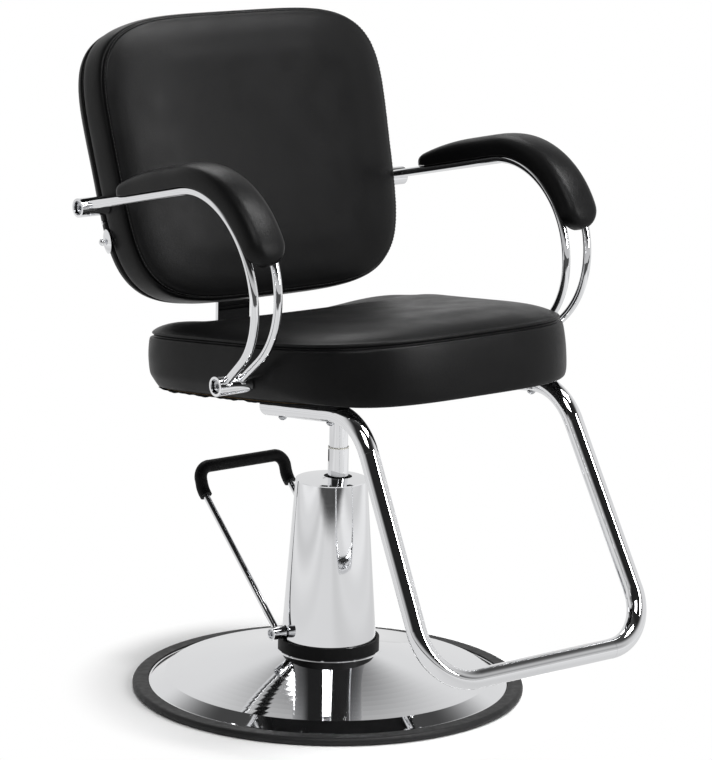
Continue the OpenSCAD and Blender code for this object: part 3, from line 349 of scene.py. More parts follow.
def seam_steps(length, seam_first, seam_last, pitch):
    """Distances along a leather panel, crowded where it meets a seam."""
    near = [0.0007, 0.0015, 0.0026, 0.0038, 0.0045, 0.005, 0.0056, 0.0066, 0.009, 0.0125, 0.017]
    found = {0.0, length}
    found |= {d for d in near if seam_first and d < length / 2}
    found |= {length - d for d in near if seam_last and d < length / 2}
    low, high = (SEAM_ZONE if seam_first else pitch), length - (SEAM_ZONE if seam_last else pitch)
    cells = max(1, round((high - low) / pitch))
    found |= {low + (high - low) * k / cells for k in range(cells + 1) if high > low}
    return np.array(sorted(found))


def folds(p, seed):
    """Small uneven number at each point, the same each run."""
    shift = Vector((seed * 1.7, seed * 0.9, seed * 2.3))
    return np.array([noise.noise(Vector(q) * FOLD_SCALE + shift) for q in p])


def draw_in(obj, depth):
    """Moves each vertex inwards along its normal by the depths given."""
    co, no = coordinates(obj.data), normals(obj.data)
    set_coordinates(obj.data, co - no * depth[:, None])


def evened(mesh, move, rounds):
    """Averages each vertex's move with its neighbours' moves, some rounds over."""
    pairs = np.zeros(len(mesh.edges) * 2, int)
    mesh.edges.foreach_get("vertices", pairs)
    a, b = pairs[::2], pairs[1::2]
    shared = np.bincount(pairs, minlength=len(move))[:, None]
    for _ in range(rounds):
        total = np.zeros_like(move)
        np.add.at(total, a, move[b])
        np.add.at(total, b, move[a])
        move = (move + total / shared) / 2
    return move


def blow_out(obj, held, cap, pressure):
    """Fills the leather like a cushion with Blender's cloth, holding it at its seams, and caps how far it moves."""
    if cap <= 0:
        return obj
    group = obj.vertex_groups.new(name="held")
    for weight in sorted(set(np.round(held[held > 0.01], 2))):
        group.add([int(v) for v in np.nonzero(np.round(held, 2) == weight)[0]], float(weight), "REPLACE")
    mod = obj.modifiers.new("Cloth", "CLOTH")
    cloth = mod.settings
    cloth.quality = 6
    cloth.mass = 0.4
    cloth.tension_stiffness = cloth.compression_stiffness = 25
    cloth.shear_stiffness = 12
    cloth.bending_stiffness = 1.5
    cloth.use_pressure = True
    cloth.uniform_pressure_force = pressure
    cloth.effector_weights.gravity = 0
    cloth.vertex_group_mass = "held"
    cloth.pin_stiffness = 1
    mod.collision_settings.use_collision = False
    scene = bpy.context.scene
    mod.point_cache.frame_start, mod.point_cache.frame_end = 1, FILL_FRAMES
    rest = coordinates(obj.data)
    for step in range(1, FILL_FRAMES + 1):
        scene.frame_set(step)
    depsgraph = bpy.context.evaluated_depsgraph_get()
    moved = coordinates(obj.evaluated_get(depsgraph).data)
    obj.modifiers.remove(mod)
    scene.frame_set(1)
    obj.vertex_groups.clear()
    move = evened(obj.data, moved - rest, EVEN_ROUNDS) * (1 - held)[:, None]
    far = np.linalg.norm(move, axis=1, keepdims=True) + 1e-12
    set_coordinates(obj.data, rest + move / far * cap * (1 - np.exp(-far / cap)))
    return obj


# Finishes


class Nodes:
    """A tree's nodes, linked by short calls."""

    def __init__(self, tree):
        self.tree = tree

    def node(self, kind, values=(), links=()):
        node = self.tree.nodes.new(kind)
        for key, value in dict(values).items():
            if key in node.inputs:
                node.inputs[key].default_value = value
            else:
                setattr(node, key, value)
        for key, socket in dict(links).items():
            self.tree.links.new(socket, node.inputs[key])
        return node

    def maths(self, operation, *values):
        node = self.node("ShaderNodeMath", {"operation": operation})
        for socket, value in zip(node.inputs, values):
            if isinstance(value, bpy.types.NodeSocket):
                self.tree.links.new(value, socket)
            else:
                socket.default_value = value
        return node.outputs[0]

    def along(self, place, heading):
        """How far a place lies along a heading."""
        node = self.node("ShaderNodeVectorMath", {"operation": "DOT_PRODUCT"})
        self.tree.links.new(place, node.inputs[0])
        node.inputs[1].default_value = heading
        return node.outputs["Value"]

    def spread(self, value, low, high, start=0.3, end=0.7, kind="LINEAR"):
        """Maps a value between start and end onto low to high."""
        return self.node("ShaderNodeMapRange", {"From Min": start, "From Max": end, "To Min": low, "To Max": high,
                                                "interpolation_type": kind}, {"Value": value}).outputs["Result"]


class Finish(Nodes):
    """A material's nodes."""

    def __init__(self, name):
        self.material = bpy.data.materials.new(name)
        self.material.use_nodes = True
        super().__init__(self.material.node_tree)
        self.shader = self.tree.nodes["Principled BSDF"]
        self.place = self.tree.nodes.new("ShaderNodeTexCoord").outputs["Object"]

    def stretched(self, scale):
        return self.node("ShaderNodeMapping", {"Scale": scale}, {"Vector": self.place}).outputs["Vector"]

    def noise(self, scale, detail=3.0, roughness=0.5, place=None):
        return self.node("ShaderNodeTexNoise", {"Scale": scale, "Detail": detail, "Roughness": roughness},
                         {"Vector": place or self.place}).outputs["Fac"]

    def mix(self, value, a, b):
        node = self.node("ShaderNodeMix", {"data_type": "RGBA"}, {})
        self.tree.links.new(value, node.inputs[0])
        for socket, colour in ((node.inputs[6], a), (node.inputs[7], b)):
            if isinstance(colour, bpy.types.NodeSocket):
                self.tree.links.new(colour, socket)
            else:
                socket.default_value = (*colour, 1)
        return node.outputs[2]

    def bump(self, height, distance, below=None, strength=1.0):
        node = self.node("ShaderNodeBump", {"Distance": distance, "Strength": strength}, {"Height": height})
        if below is not None:
            self.tree.links.new(below, node.inputs["Normal"])
        return node.outputs["Normal"]

    def finish(self, colour=None, roughness=None, normal=None, **constants):
        for key, socket in (("Base Color", colour), ("Roughness", roughness), ("Normal", normal)):
            if socket is not None:
                self.tree.links.new(socket, self.shader.inputs[key])
        for key, value in constants.items():
            self.shader.inputs[key.replace("_", " ")].default_value = value
        return self.material


def shade(colour, factor):
    return tuple(min(1.0, c * factor) for c in colour)


def made(name, maker):
    """A finish by its name, made once."""
    return bpy.data.materials.get(name) or maker(name)


def leather(name="black_leather_hide"):
    looks = bpy.context.scene.chair_leather
    f = Finish(name)
    colour, grain = tuple(looks.colour), looks.grain
    cloud = f.noise(9, 4)
    tone = f.mix(f.spread(cloud, 0, 1), shade(colour, 0.82), shade(colour, 1.25))
    cells = f.node("ShaderNodeTexVoronoi", {"feature": "DISTANCE_TO_EDGE", "Scale": 1 / grain}, {"Vector": f.place})
    pebbles = f.spread(cells.outputs["Distance"], 0, 1, 0.0, 0.18)
    normal = f.bump(f.noise(70, 5, 0.6), 0.00035, None, 0.22)
    normal = f.bump(f.noise(300, 4, 0.6), 0.0003, normal, 0.55)
    normal = f.bump(pebbles, looks.grain_depth, normal, 0.5)
    dull = f.spread(f.noise(23, 5, 0.55), looks.roughness - 0.05, looks.roughness + 0.06)
    return f.finish(tone, dull, normal, Specular_IOR_Level=looks.shine)


def chrome(name="bright_chrome"):
    looks = bpy.context.scene.chair_metal
    f = Finish(name)
    colour = tuple(looks.chrome)
    tone = f.mix(f.spread(f.noise(6, 3), 0, 1), shade(colour, 0.965), colour)
    wipe = f.noise(30, 4, 0.6, f.stretched((1, 1, 6)))
    dull = f.spread(wipe, looks.chrome_roughness - 0.012, looks.chrome_roughness + 0.022)
    normal = f.bump(f.noise(16, 2), 0.00012, None, 0.15)
    return f.finish(tone, dull, normal, Metallic=1.0)


def mottled(name, dark, light, tone, dull, dullness, grain, depth, strength, **constants):
    """A finish that varies between two colours; tone, dull and grain each give a noise's scale and detail."""
    f = Finish(name)
    colour = f.mix(f.spread(f.noise(*tone), 0, 1), dark, light)
    roughness = f.spread(f.noise(*dull), *dullness)
    return f.finish(colour, roughness, f.bump(f.noise(*grain), depth, None, strength), **constants)


def steel(name="zinc_steel"):
    colour = tuple(bpy.context.scene.chair_metal.steel)
    return mottled(name, shade(colour, 0.8), shade(colour, 1.1), (60, 4), (240, 3), (0.22, 0.36),
                   (900, 2), 0.00005, 0.4, Metallic=1.0)


def painted_iron(name="painted_iron"):
    colour = tuple(bpy.context.scene.chair_metal.iron)
    return mottled(name, shade(colour, 0.75), shade(colour, 1.3), (40, 5), (120, 4), (0.42, 0.6),
                   (420, 4, 0.6), 0.0003, 0.5, Specular_IOR_Level=0.45)


def rubber(name="matt_rubber", share=1.0, shine=0.3):
    colour = shade(bpy.context.scene.chair_metal.rubber, share)
    return mottled(name, shade(colour, 0.85), shade(colour, 1.3), (35, 5), (90, 4), (0.45, 0.6),
                   (700, 3), 0.00012, 0.35, Specular_IOR_Level=shine)


def black_rubber(name="black_rubber"):
    return rubber(name, 0.5, 0.12)


def nylon(name="natural_nylon"):
    return mottled(name, (0.66, 0.65, 0.58), (0.78, 0.77, 0.7), (80, 3), (300, 3), (0.38, 0.5),
                   (500, 2), 0.00005, 0.4)


def bronze(name="turned_bronze"):
    f = Finish(name)
    tone = f.mix(f.spread(f.noise(50, 4), 0, 1), (0.42, 0.27, 0.11), (0.6, 0.42, 0.2))
    rings = f.noise(400, 2, 0.5, f.stretched((0.2, 0.2, 4)))
    return f.finish(tone, f.spread(rings, 0.25, 0.42), f.bump(rings, 0.00004, None, 0.4), Metallic=1.0)


def plywood(name="birch_plywood"):
    f = Finish(name)
    layers = f.node("ShaderNodeTexWave", {"bands_direction": "Z", "Scale": 110, "Distortion": 0.6, "Detail": 2},
                    {"Vector": f.place}).outputs["Fac"]
    fibres = f.noise(60, 5, 0.6, f.stretched((1, 12, 12)))
    face = f.mix(f.spread(fibres, 0, 1), (0.42, 0.27, 0.13), (0.62, 0.44, 0.25))
    tone = f.mix(f.spread(layers, 0, 0.35, 0.2, 0.8), face, (0.28, 0.17, 0.08))
    return f.finish(tone, f.spread(fibres, 0.6, 0.8), f.bump(fibres, 0.0002, None, 0.4))


def lining_cloth(name="lining_cloth"):
    f = Finish(name)
    weave = f.node("ShaderNodeTexVoronoi", {"Scale": 900}, {"Vector": f.place}).outputs["Distance"]
    tone = f.mix(f.spread(weave, 0, 1, 0.1, 0.7), (0.004, 0.004, 0.004), (0.012, 0.012, 0.0125))
    return f.finish(tone, f.spread(f.noise(300, 4), 0.8, 0.95), f.bump(weave, 0.00015, None, 0.6),
                    Specular_IOR_Level=0.1)


def thread(name="sewing_thread"):
    looks = bpy.context.scene.chair_leather
    f = Finish(name)
    colour = tuple(looks.thread)
    ply = f.noise(2200, 2, 0.5)
    tone = f.mix(f.spread(ply, 0, 1), shade(colour, 0.7), shade(colour, 1.6))
    return f.finish(tone, f.spread(ply, 0.45, 0.65), f.bump(ply, 0.00008, None, 0.5))


# Leather pieces


def level(z):
    """Closes a piece's hidden side with a flat grid."""
    return lambda p: np.stack([p[:, 0], p[:, 1], np.full(len(p), z)], 1)


def share_of(p, half_w, half_d, mid, power):
    """Share of the way from the middle to an oval of the given half sizes, and the oval's radius that way."""
    x, y = np.abs(p[:, 0]) + 1e-9, np.abs(p[:, 1] - mid)
    share = ((x / half_w) ** power + (y / half_d) ** power) ** (1 / power)
    return share, np.hypot(x, y) / (share + 1e-9)


def seat_fill(p):
    """Places of the points inside the seat's innermost row."""
    half_d, mid, inset = (SEAT_REAR + SEAT_FRONT) / 2, (SEAT_REAR - SEAT_FRONT) / 2, SEAT_FILL * SEAT_HALF_W
    power = np.where(p[:, 1] < mid, SEAT_FRONT_POWER, SEAT_REAR_POWER) - SEAT_FILL
    s, _ = share_of(p, SEAT_HALF_W - inset, half_d - inset, mid, power)
    high = 1 - MIDDLE_LOW * (1 - np.clip(s, 0, 1) ** 2) ** 2
    dip = (SEAM_DIP + (1 - SEAM_DIP) * high) * SEAT_DIP * seat_dip_at(p[:, 0], p[:, 1])
    z = SEAT_SEAM_H + SEAT_CROWN * high - dip
    return np.stack([p[:, 0], p[:, 1], z], 1)


def back_fill(p, inset_share, drop, slope, start, rise):
    """Places of the points inside a backrest panel's innermost row, which they leave at the row's own slope."""
    inset = inset_share * BACK_HALF_W
    flat = p.copy()
    flat[:, 0] = p[:, 0] / (1 + BACK_WIDENS * p[:, 1] / BACK_HALF_W)
    s, r = share_of(flat, BACK_HALF_W - inset, BACK_LEN / 2 - inset, BACK_LEN / 2 - BACK_LOW,
                    BACK_POWER - inset_share)
    high = 1 - drop * np.clip(s, 0, 1) ** np.maximum(1.5, slope * r / drop)
    return np.stack([p[:, 0], p[:, 1], start + rise * high], 1)


def leather_piece(name, rows, away, held, first, last, place, body="chair"):
    """Closed leather skin through rows, drawn in at its seams and blown out between them; away is each row's distance
    from its nearest seam. Returns the piece and the points of each row after the filling."""
    sizes = bpy.context.scene.chair_cushions
    points, faces = skin(rows, first, last)
    count = len(rows[0])
    cells = (count // 4 - 1) ** 2
    obj = new_piece(name, place(points), faces, made("black_leather_hide", leather), weld=False)
    crease = sizes.seam_depth * np.exp(-((away / CREASE_W) ** 2))
    depth = np.r_[np.repeat(crease, count), np.zeros(2 * cells)]
    pinned = np.r_[np.repeat(held, count), np.ones(cells), np.zeros(cells)]
    near = np.r_[np.repeat(np.exp(-away / FOLD_REACH), count), np.zeros(2 * cells)]
    draw_in(obj, depth + FOLD_DEPTH * near * folds(coordinates(obj.data), sizes.seed))
    blow_out(obj, pinned, sizes.swell, sizes.pressure)
    kept = coordinates(obj.data)[: len(rows) * count].reshape(len(rows), count, 3).copy()
    subdivided(obj, 1)
    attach(obj, body)
    return obj, kept


def panel_rows(points, make, seam_first, seam_last, pitch, ahead=None):
    """Rows of a leather panel along its profile, and each row's distance from the nearest seam."""
    shares = np.linspace(0, 1, 400)
    whole, length = curve_through(points, shares, ahead)
    steps = seam_steps(length, seam_first, seam_last, pitch)
    at = np.stack([np.interp(steps / length, shares, whole[:, k]) for k in range(whole.shape[1])], 1)
    away = np.full(len(steps), 1.0)
    if seam_first:
        away = np.minimum(away, steps)
    if seam_last:
        away = np.minimum(away, length - steps)
    return [make(row) for row in at], away


def make_seat():
    """The seat's cushion, with one seam round its top edge."""
    n = bpy.context.scene.chair_cushions.around
    hole = BOARD_INSET - CLEAR
    hidden = [seat_loop(n, hole, SEAT_BOARD_T + CLEAR), seat_loop(n, hole, CLEAR), seat_loop(n, EDGE_TURN, CLEAR)]
    side, side_away = panel_rows(
        [(EDGE_TURN * a, SEAT_SEAM_H * b, b) for a, b in SEAT_SIDE],
        lambda q: seat_loop(n, q[0], q[1], edge=1 - q[2], dip=SEAM_DIP * q[2]), False, True, ROW_PITCH)
    high = lambda a, b: (SEAT_HALF_W * (1 - a), SEAT_SEAM_H + SEAT_CROWN * b, 1 - a, b)
    top = [(EDGE_TURN * 0.65, SEAT_SEAM_H, 0.0, 0.0)] + [high(a, b) for a, b in SEAT_TOP if a > 0.65]
    over, over_away = panel_rows(
        top, lambda q: seat_loop(n, q[0], q[1], q[2], dip=SEAM_DIP + (1 - SEAM_DIP) * q[3]), True, False,
        ROW_PITCH, high(0.53, 0.93))
    rows, away = hidden + side + over[1:], np.r_[np.ones(3), side_away, over_away[1:]]
    held = np.where(away < HELD_STRIP, 1.0, 0.0)
    held[:5] = 1
    seat, _ = leather_piece("seat_leather", rows, away, held, level(SEAT_BOARD_T + CLEAR), seat_fill, seat_world)
    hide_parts("seat_cushion")
    return seat


def make_back():
    """The backrest's cushion, and the line of its stitches."""
    n, t = bpy.context.scene.chair_cushions.around, BACK_SIDE_T
    hole = BOARD_INSET - CLEAR
    hidden = [back_loop(n, hole, BACK_BOARD_T + CLEAR - t), back_loop(n, hole, -t)]
    side, side_away = panel_rows([(BOARD_INSET * a, t * b) for a, b in BACK_SIDE],
                                 lambda q: back_loop(n, q[0], q[1]), True, True, SIDE_PITCH)
    front = [(BOARD_INSET * 0.42, 0.0, 0.0), (BOARD_INSET * 0.38, 0.06 * t, 0.0)]
    front += [(BACK_HALF_W * (1 - a), BACK_CROWN * b, 1 - a) for a, b in BACK_FRONT[1:] if a > 0.6]
    over, over_away = panel_rows(front, lambda q: back_loop(n, q[0], q[1], q[2]), True, False, ROW_PITCH,
                                 (BACK_HALF_W * 0.58, BACK_CROWN * 0.99, 0.58))
    rows, away = hidden + side + over[1:], np.r_[np.ones(2), side_away, over_away[1:]]
    held = np.where(away < HELD_STRIP, 1.0, 0.0)
    held[:3] = 1
    back, kept = leather_piece(
        "back_leather", rows, away, held, level(BACK_BOARD_T + CLEAR - t),
        lambda p: back_fill(p, BACK_FILL, drop=0.06, slope=1.61, start=0.0, rise=BACK_CROWN), back_world)
    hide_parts("back_cushion")
    row = len(hidden) + len(side) - 1 + int(np.argmin(np.abs(over_away - STITCH_IN)))
    return back, kept[row]


def make_rear():
    """The padded panel that closes the backrest's rear, with its one seam in the side wall."""
    n, t = bpy.context.scene.chair_cushions.around, BACK_SIDE_T + CLEAR
    rear = [(BOARD_INSET * 0.42, -t, 0.0)]
    rear += [(BACK_HALF_W * (1 - a), -t - REAR_CROWN * b, 1 - a) for a, b in BACK_REAR[::-1] if a > 0.65]
    rows, away = panel_rows(rear, lambda q: back_loop(n, q[0], q[1], q[2]), True, False, ROW_PITCH,
                            (BACK_HALF_W * 0.55, -t - REAR_CROWN * 0.99, 0.55))
    held = np.where(away < HELD_STRIP, 1.0, 0.0)
    away[0] = 1  # its first row is the flat side's edge, so no crease is drawn there
    panel, _ = leather_piece("rear_leather", rows, away, held, level(-t),
                             lambda p: back_fill(p, REAR_FILL, drop=0.025, slope=0.502, start=-t, rise=-REAR_CROWN),
                             back_world)
    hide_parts("back_panel")
    return panel


def make_hem():
    """Gathered edge of the cloth that is tacked under the seat."""
    count, hang = 480, 0.0036
    gathers = ((0.0006, 23, 0), (0.0005, 41, 1), (0.0003, 87, 2))
    section = ((0.019, 0.0), (0.0185, 1.0), (0.0205, 1.0), (0.021, 0.0), (0.019, 0.0))
    t = np.linspace(0, 2 * math.pi, count, endpoint=False)
    wave = np.full(count, hang)
    for depth, times, start in gathers:
        wave = wave + depth * np.sin(times * t + start)
    rows = []
    for inset, share in section:
        row = seat_loop(count, inset, -CLEAR)
        row[:, 2] -= wave * share
        rows.append(row)
    points, faces = skin(rows, None, None)
    hem = new_piece("cover_hem", seat_world(points), faces, made("lining_cloth", lining_cloth))
    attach(hem, "chair")
    return hem


# Arm pads, along the rods that carry them

ROD_R, ROD_IN_W, ROD_GAP, ROD_SPLAY, ROD_BEND = 0.006, 0.265, 0.025, math.radians(5.6), 0.138
PAD_T, PAD_LIP, PAD_TAIL, PAD_ARC, PAD_GAP, PAD_SKIRT = 0.030, 0.0015, 0.184, math.radians(83), 0.0008, 0.002
PAD_SIDE = [(1, 0.3), (0.96, 0.58), (0.84, 0.8), (0.62, 0.94), (0.3, 0.99), (0, 1.003)]
PAD_REAR, PAD_FRONT, PAD_TAPER, PAD_REAR_SHARE = 0.024, 0.027, 0.120, 0.45


def unit(v):
    return v / np.linalg.norm(v)


ARM_BACK_V, ARM_SEAT_Y, ARM_SEAT_Z, ROD_UP = 0.012, -0.109, 0.028, 0.0024
ROD_FRONT, ROD_SLOPE, ROD_LOW_RISE = 0.194, math.radians(12.7), 0.073
ARM_REAR = back_world(np.array([[0, ARM_BACK_V, -(BACK_SIDE_T - BACK_BOARD_T / 2)]]))[0]
ARM_LOW = seat_world(np.array([[0, ARM_SEAT_Y, ARM_SEAT_Z]]))[0]
ROD_START = np.array([0, ARM_REAR[1], ARM_REAR[2] + ROD_UP])
ROD_END = np.array([0, ARM_LOW[1], ARM_LOW[2]])
ROD_CORNER = np.array([0, -ROD_FRONT, ROD_START[2] + (ROD_START[1] + ROD_FRONT) * math.tan(ROD_SLOPE)])
ROD_KNEE = np.array([0, -ROD_FRONT, ROD_END[2] + ROD_LOW_RISE])
ROD_U = unit(ROD_CORNER - ROD_START)
ROD_E = np.array([0, ROD_U[2], -ROD_U[1]])
ROD_TURN = math.acos(np.dot(ROD_U, unit(ROD_KNEE - ROD_CORNER)))
ROD_ARC = ROD_CORNER - ROD_U * ROD_BEND * math.tan(ROD_TURN / 2)
PAD_LEN = PAD_TAIL + ROD_BEND * PAD_ARC


def rod_angle(s):
    return max(0.0, s - PAD_TAIL) / ROD_BEND


def rod_up(s):
    return ROD_E * math.cos(rod_angle(s)) + ROD_U * math.sin(rod_angle(s))


def rod_point(s):
    if s < PAD_TAIL:
        return ROD_ARC - ROD_U * (PAD_TAIL - s)
    return ROD_ARC + (rod_up(s) - ROD_E) * ROD_BEND


def rod_span(s):
    bow = np.linalg.norm(np.cross(rod_point(s) - ROD_START, unit(ROD_END - ROD_START)))
    return ROD_GAP + bow * math.tan(ROD_SPLAY)


def pad_tip(s):
    if s < PAD_REAR:
        return math.sqrt(max(0, 1 - (1 - s / PAD_REAR) ** 2))
    if s > PAD_LEN - PAD_FRONT:
        return math.sqrt(max(0, 1 - (1 - (PAD_LEN - s) / PAD_FRONT) ** 2))
    return 1.0


def pad_full(s):
    u = 1 - min(1, s / PAD_TAPER)
    return PAD_T * (1 - (1 - PAD_REAR_SHARE) * u * u)


def pad_row(s, count):
    """One loop of a pad's section, from the middle of its underside round over the top."""
    f = pad_tip(s)
    h, t = (rod_span(s) / 2 + ROD_R + PAD_LIP) * f, pad_full(s) * (1 + f) / 2
    b = ROD_R + PAD_GAP
    skirt = PAD_SKIRT * min(1, max(0, min(s - PAD_REAR, PAD_LEN - PAD_FRONT - s) / (2 * PAD_SKIRT)))
    lip = PAD_LIP * f
    half = [(h - a * lip, b - skirt) for a in (0.8, 0.25, 0)]
    half += [(h * a, b + t * c) for a, c in PAD_SIDE]
    under = [(0, b), ((h - lip) * 0.6, b), (h - lip + CLEAR * f, b)]
    low, _ = curve_through(under, np.linspace(0, 1, count // 8 + 1))
    high, _ = curve_through(half, np.linspace(0, 1, count // 2 - count // 8 + 1))
    side = np.vstack([low[:-1], high])
    loop = np.vstack([side, side[-2:0:-1] * [-1, 1]])
    o = rod_point(s) + np.array([ROD_IN_W + rod_span(s) / 2, 0, 0])
    return o + loop[:, :1] * np.array([1.0, 0, 0]) + loop[:, 1:] * rod_up(s)


def make_pad(name, hand):
    """One arm pad; hand is 1 for the sitter's left and -1 for the right."""
    count, cells = 64, 52
    tips = [PAD_REAR * (1 - math.cos(a)) for a in np.radians([9, 18, 28, 38, 49, 60, 71, 81])]
    tops = [PAD_LEN - PAD_FRONT * (1 - math.cos(a)) for a in np.radians([81, 73, 65, 56, 47, 38, 29, 19, 10])]
    middle = list(np.arange(PAD_REAR, PAD_LEN - PAD_FRONT + 1e-6, (PAD_LEN - PAD_FRONT - PAD_REAR) / cells))
    rows = [pad_row(s, count) for s in tips + middle + tops]
    ends = []
    for s in (0.0, PAD_LEN):
        o = rod_point(s) + np.array([ROD_IN_W + rod_span(s) / 2, 0, 0])
        ends.append(o + rod_up(s) * (ROD_R + PAD_GAP + pad_full(s) / 4))
    place = lambda p: np.stack([RAM_X + hand * p[:, 0], p[:, 1], p[:, 2]], 1)
    points, faces = skin(rows, ends[0], ends[1])
    pad = new_piece(name, place(points), faces, made("black_leather_hide", leather), weld=False)
    sizes = bpy.context.scene.chair_cushions
    section = np.zeros(count)
    low = count // 8 + 3
    section[:low] = 1
    section[-low + 1:] = 1
    held = np.r_[np.tile(section, len(rows)), 0, 0]
    blow_out(pad, held, sizes.swell * PAD_SWELL, sizes.pressure)
    subdivided(pad, 1)
    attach(pad, "chair")
    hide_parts("left_arm_pad" if hand > 0 else "right_arm_pad")
    return pad


def make_beads():
    """Weld beads round the feet of the arms' rods, on their lower sleeves."""
    bead_r, ripple, ripples, foot_up, rod_gap = 0.0016, 0.22, 9, 0.0122, 0.0006
    points, faces = [], []
    along = unit(ROD_KNEE - ROD_END)
    side = np.cross(along, [1.0, 0, 0])
    turn = np.linspace(0, 2 * math.pi, 36, endpoint=False)
    for hand in (1, -1):
        for x in (ROD_IN_W, ROD_IN_W + ROD_GAP):
            foot = ROD_END + np.array([x, 0, 0]) + along * foot_up
            rows = []
            for a in np.linspace(0, 2 * math.pi, 13):
                r = bead_r * (1 + ripple * np.sin(ripples * turn + x * 900))
                out = (ROD_R + rod_gap + r * math.cos(a))[:, None]
                round_rod = out * (np.cos(turn)[:, None] * np.array([1.0, 0, 0]) + np.sin(turn)[:, None] * side)
                rows.append((foot + round_rod + (r * math.sin(a))[:, None] * along) * [hand, 1, 1] + [RAM_X, 0, 0])
            p, f = skin(rows, None, None)
            faces += [tuple(v + sum(len(q) for q in points) for v in face) for face in f]
            points.append(p)
    beads = new_piece("weld_beads", np.vstack(points), faces, made("bright_chrome", chrome))
    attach(beads, "chair")
    return beads


# Stitches, laid along a seam by Geometry Nodes


def stitch_tree():
    """Node group that lays short lengths of thread along a line."""
    tree = bpy.data.node_groups.new("stitch_line", "GeometryNodeTree")
    face = tree.interface
    for name, kind in (("Line", "Geometry"), ("Pitch", "Float"), ("Length", "Float"), ("Radius", "Float"),
                       ("Seed", "Int"), ("Thread", "Material")):
        face.new_socket(name, in_out="INPUT", socket_type="NodeSocket" + kind)
    face.new_socket("Stitches", in_out="OUTPUT", socket_type="NodeSocketGeometry")
    f = Nodes(tree)
    given = f.node("NodeGroupInput").outputs
    curve = f.node("GeometryNodeMeshToCurve", {}, {"Mesh": given["Line"]}).outputs["Curve"]
    spots = f.node("GeometryNodeCurveToPoints", {"mode": "LENGTH"}, {"Curve": curve, "Length": given["Pitch"]})
    ball = f.node("GeometryNodeMeshUVSphere", {"Segments": 6, "Rings": 5, "Radius": 1}).outputs["Mesh"]
    half = f.maths("MULTIPLY", given["Length"], 0.5)
    size = f.node("ShaderNodeCombineXYZ", {}, {"X": given["Radius"], "Y": given["Radius"], "Z": half})
    tilt = f.node("FunctionNodeRandomValue", {"data_type": "FLOAT_VECTOR", "Min": (-0.09, -0.09, 0),
                                              "Max": (0.09, 0.09, 0)}, {"Seed": given["Seed"]})
    laid = f.node("GeometryNodeInstanceOnPoints", {}, {"Points": spots.outputs["Points"], "Instance": ball,
                                                       "Rotation": spots.outputs["Rotation"],
                                                       "Scale": size.outputs["Vector"]})
    turned = f.node("GeometryNodeRotateInstances", {}, {"Instances": laid.outputs["Instances"],
                                                        "Rotation": tilt.outputs["Value"]})
    real = f.node("GeometryNodeRealizeInstances", {}, {"Geometry": turned.outputs["Instances"]})
    painted = f.node("GeometryNodeSetMaterial", {}, {"Geometry": real.outputs["Geometry"],
                                                     "Material": given["Thread"]})
    f.node("NodeGroupOutput", {}, {"Stitches": painted.outputs["Geometry"]})
    return tree


def stitched(name, line, piece, body="chair"):
    """Stitches along a closed line of points, laid on a piece's skin."""
    sizes = bpy.context.scene.chair_cushions
    skin_tree = BVHTree.FromObject(piece, bpy.context.evaluated_depsgraph_get())
    laid = []
    for p in line:
        spot, normal, _, _ = skin_tree.find_nearest(Vector(p))
        laid.append(spot + normal * sizes.thread_r * 0.35)
    mesh = bpy.data.meshes.new(name + "_line")
    mesh.from_pydata(laid, [(i, (i + 1) % len(laid)) for i in range(len(laid))], [])
    guide = linked(name + "_line", mesh)
    tree = bpy.data.node_groups.get("stitch_line") or stitch_tree()
    mod = guide.modifiers.new("Stitches", "NODES")
    mod.node_group = tree
    values = {"Pitch": sizes.stitch_pitch, "Length": sizes.stitch_length, "Radius": sizes.thread_r,
              "Seed": sizes.seed, "Thread": made("sewing_thread", thread)}
    for item in tree.interface.items_tree:
        if item.in_out == "INPUT" and item.name in values:
            mod[item.identifier] = values[item.name]
    depsgraph = bpy.context.evaluated_depsgraph_get()
    plain = bpy.data.meshes.new_from_object(guide.evaluated_get(depsgraph), depsgraph=depsgraph)
    bpy.data.objects.remove(guide)
    plain.shade_smooth()
    stitches = linked(name, plain)
    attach(stitches, body)
    return stitches


# Studio: level headings behind, before and across the photograph's view, and the lamps' places, sizes and watts

BEHIND, BEFORE, ACROSS = (0.62, 0.78, 0), (-0.62, -0.78, 0), (0.78, -0.62, 0)
PICTURE_H, SENSOR_W, FLOOR_HALF, LAMP_AIM = 760, 36.0, 14.0, (0, 0, 0.6)
LAMPS = {
    "lamp_strip": ((0.95, -2.55, 1.72), (0.4, 1.5), 46),
    "lamp_over": ((0.9, -0.8, 2.9), (0.9, 0.9), 55),
    "lamp_left": ((-1.1, -1.3, 2.6), (1.0, 1.0), 24),
    "lamp_rear": ((0.9, 2.3, 3.1), (1.8, 1.2), 30),
}


def studio_camera():
    looks = bpy.context.scene.chair_studio
    az, pitch, roll = looks.azimuth, looks.pitch, looks.roll
    forward = Vector((math.sin(az) * math.cos(pitch), math.cos(az) * math.cos(pitch), -math.sin(pitch)))
    right = Vector((math.cos(az), -math.sin(az), 0))
    up = right.cross(forward)
    right, up = (right * math.cos(roll) + up * math.sin(roll), up * math.cos(roll) - right * math.sin(roll))
    data = bpy.data.cameras.new("Camera")
    data.sensor_width, data.lens = SENSOR_W, looks.focal_px / PICTURE_H * SENSOR_W
    data.clip_end = 100
    camera = linked("Camera", data)
    matrix = Matrix((right, up, -forward)).transposed().to_4x4()
    matrix.translation = Vector(looks.eye)
    camera.matrix_world = matrix
    bpy.context.scene.camera = camera
    return camera


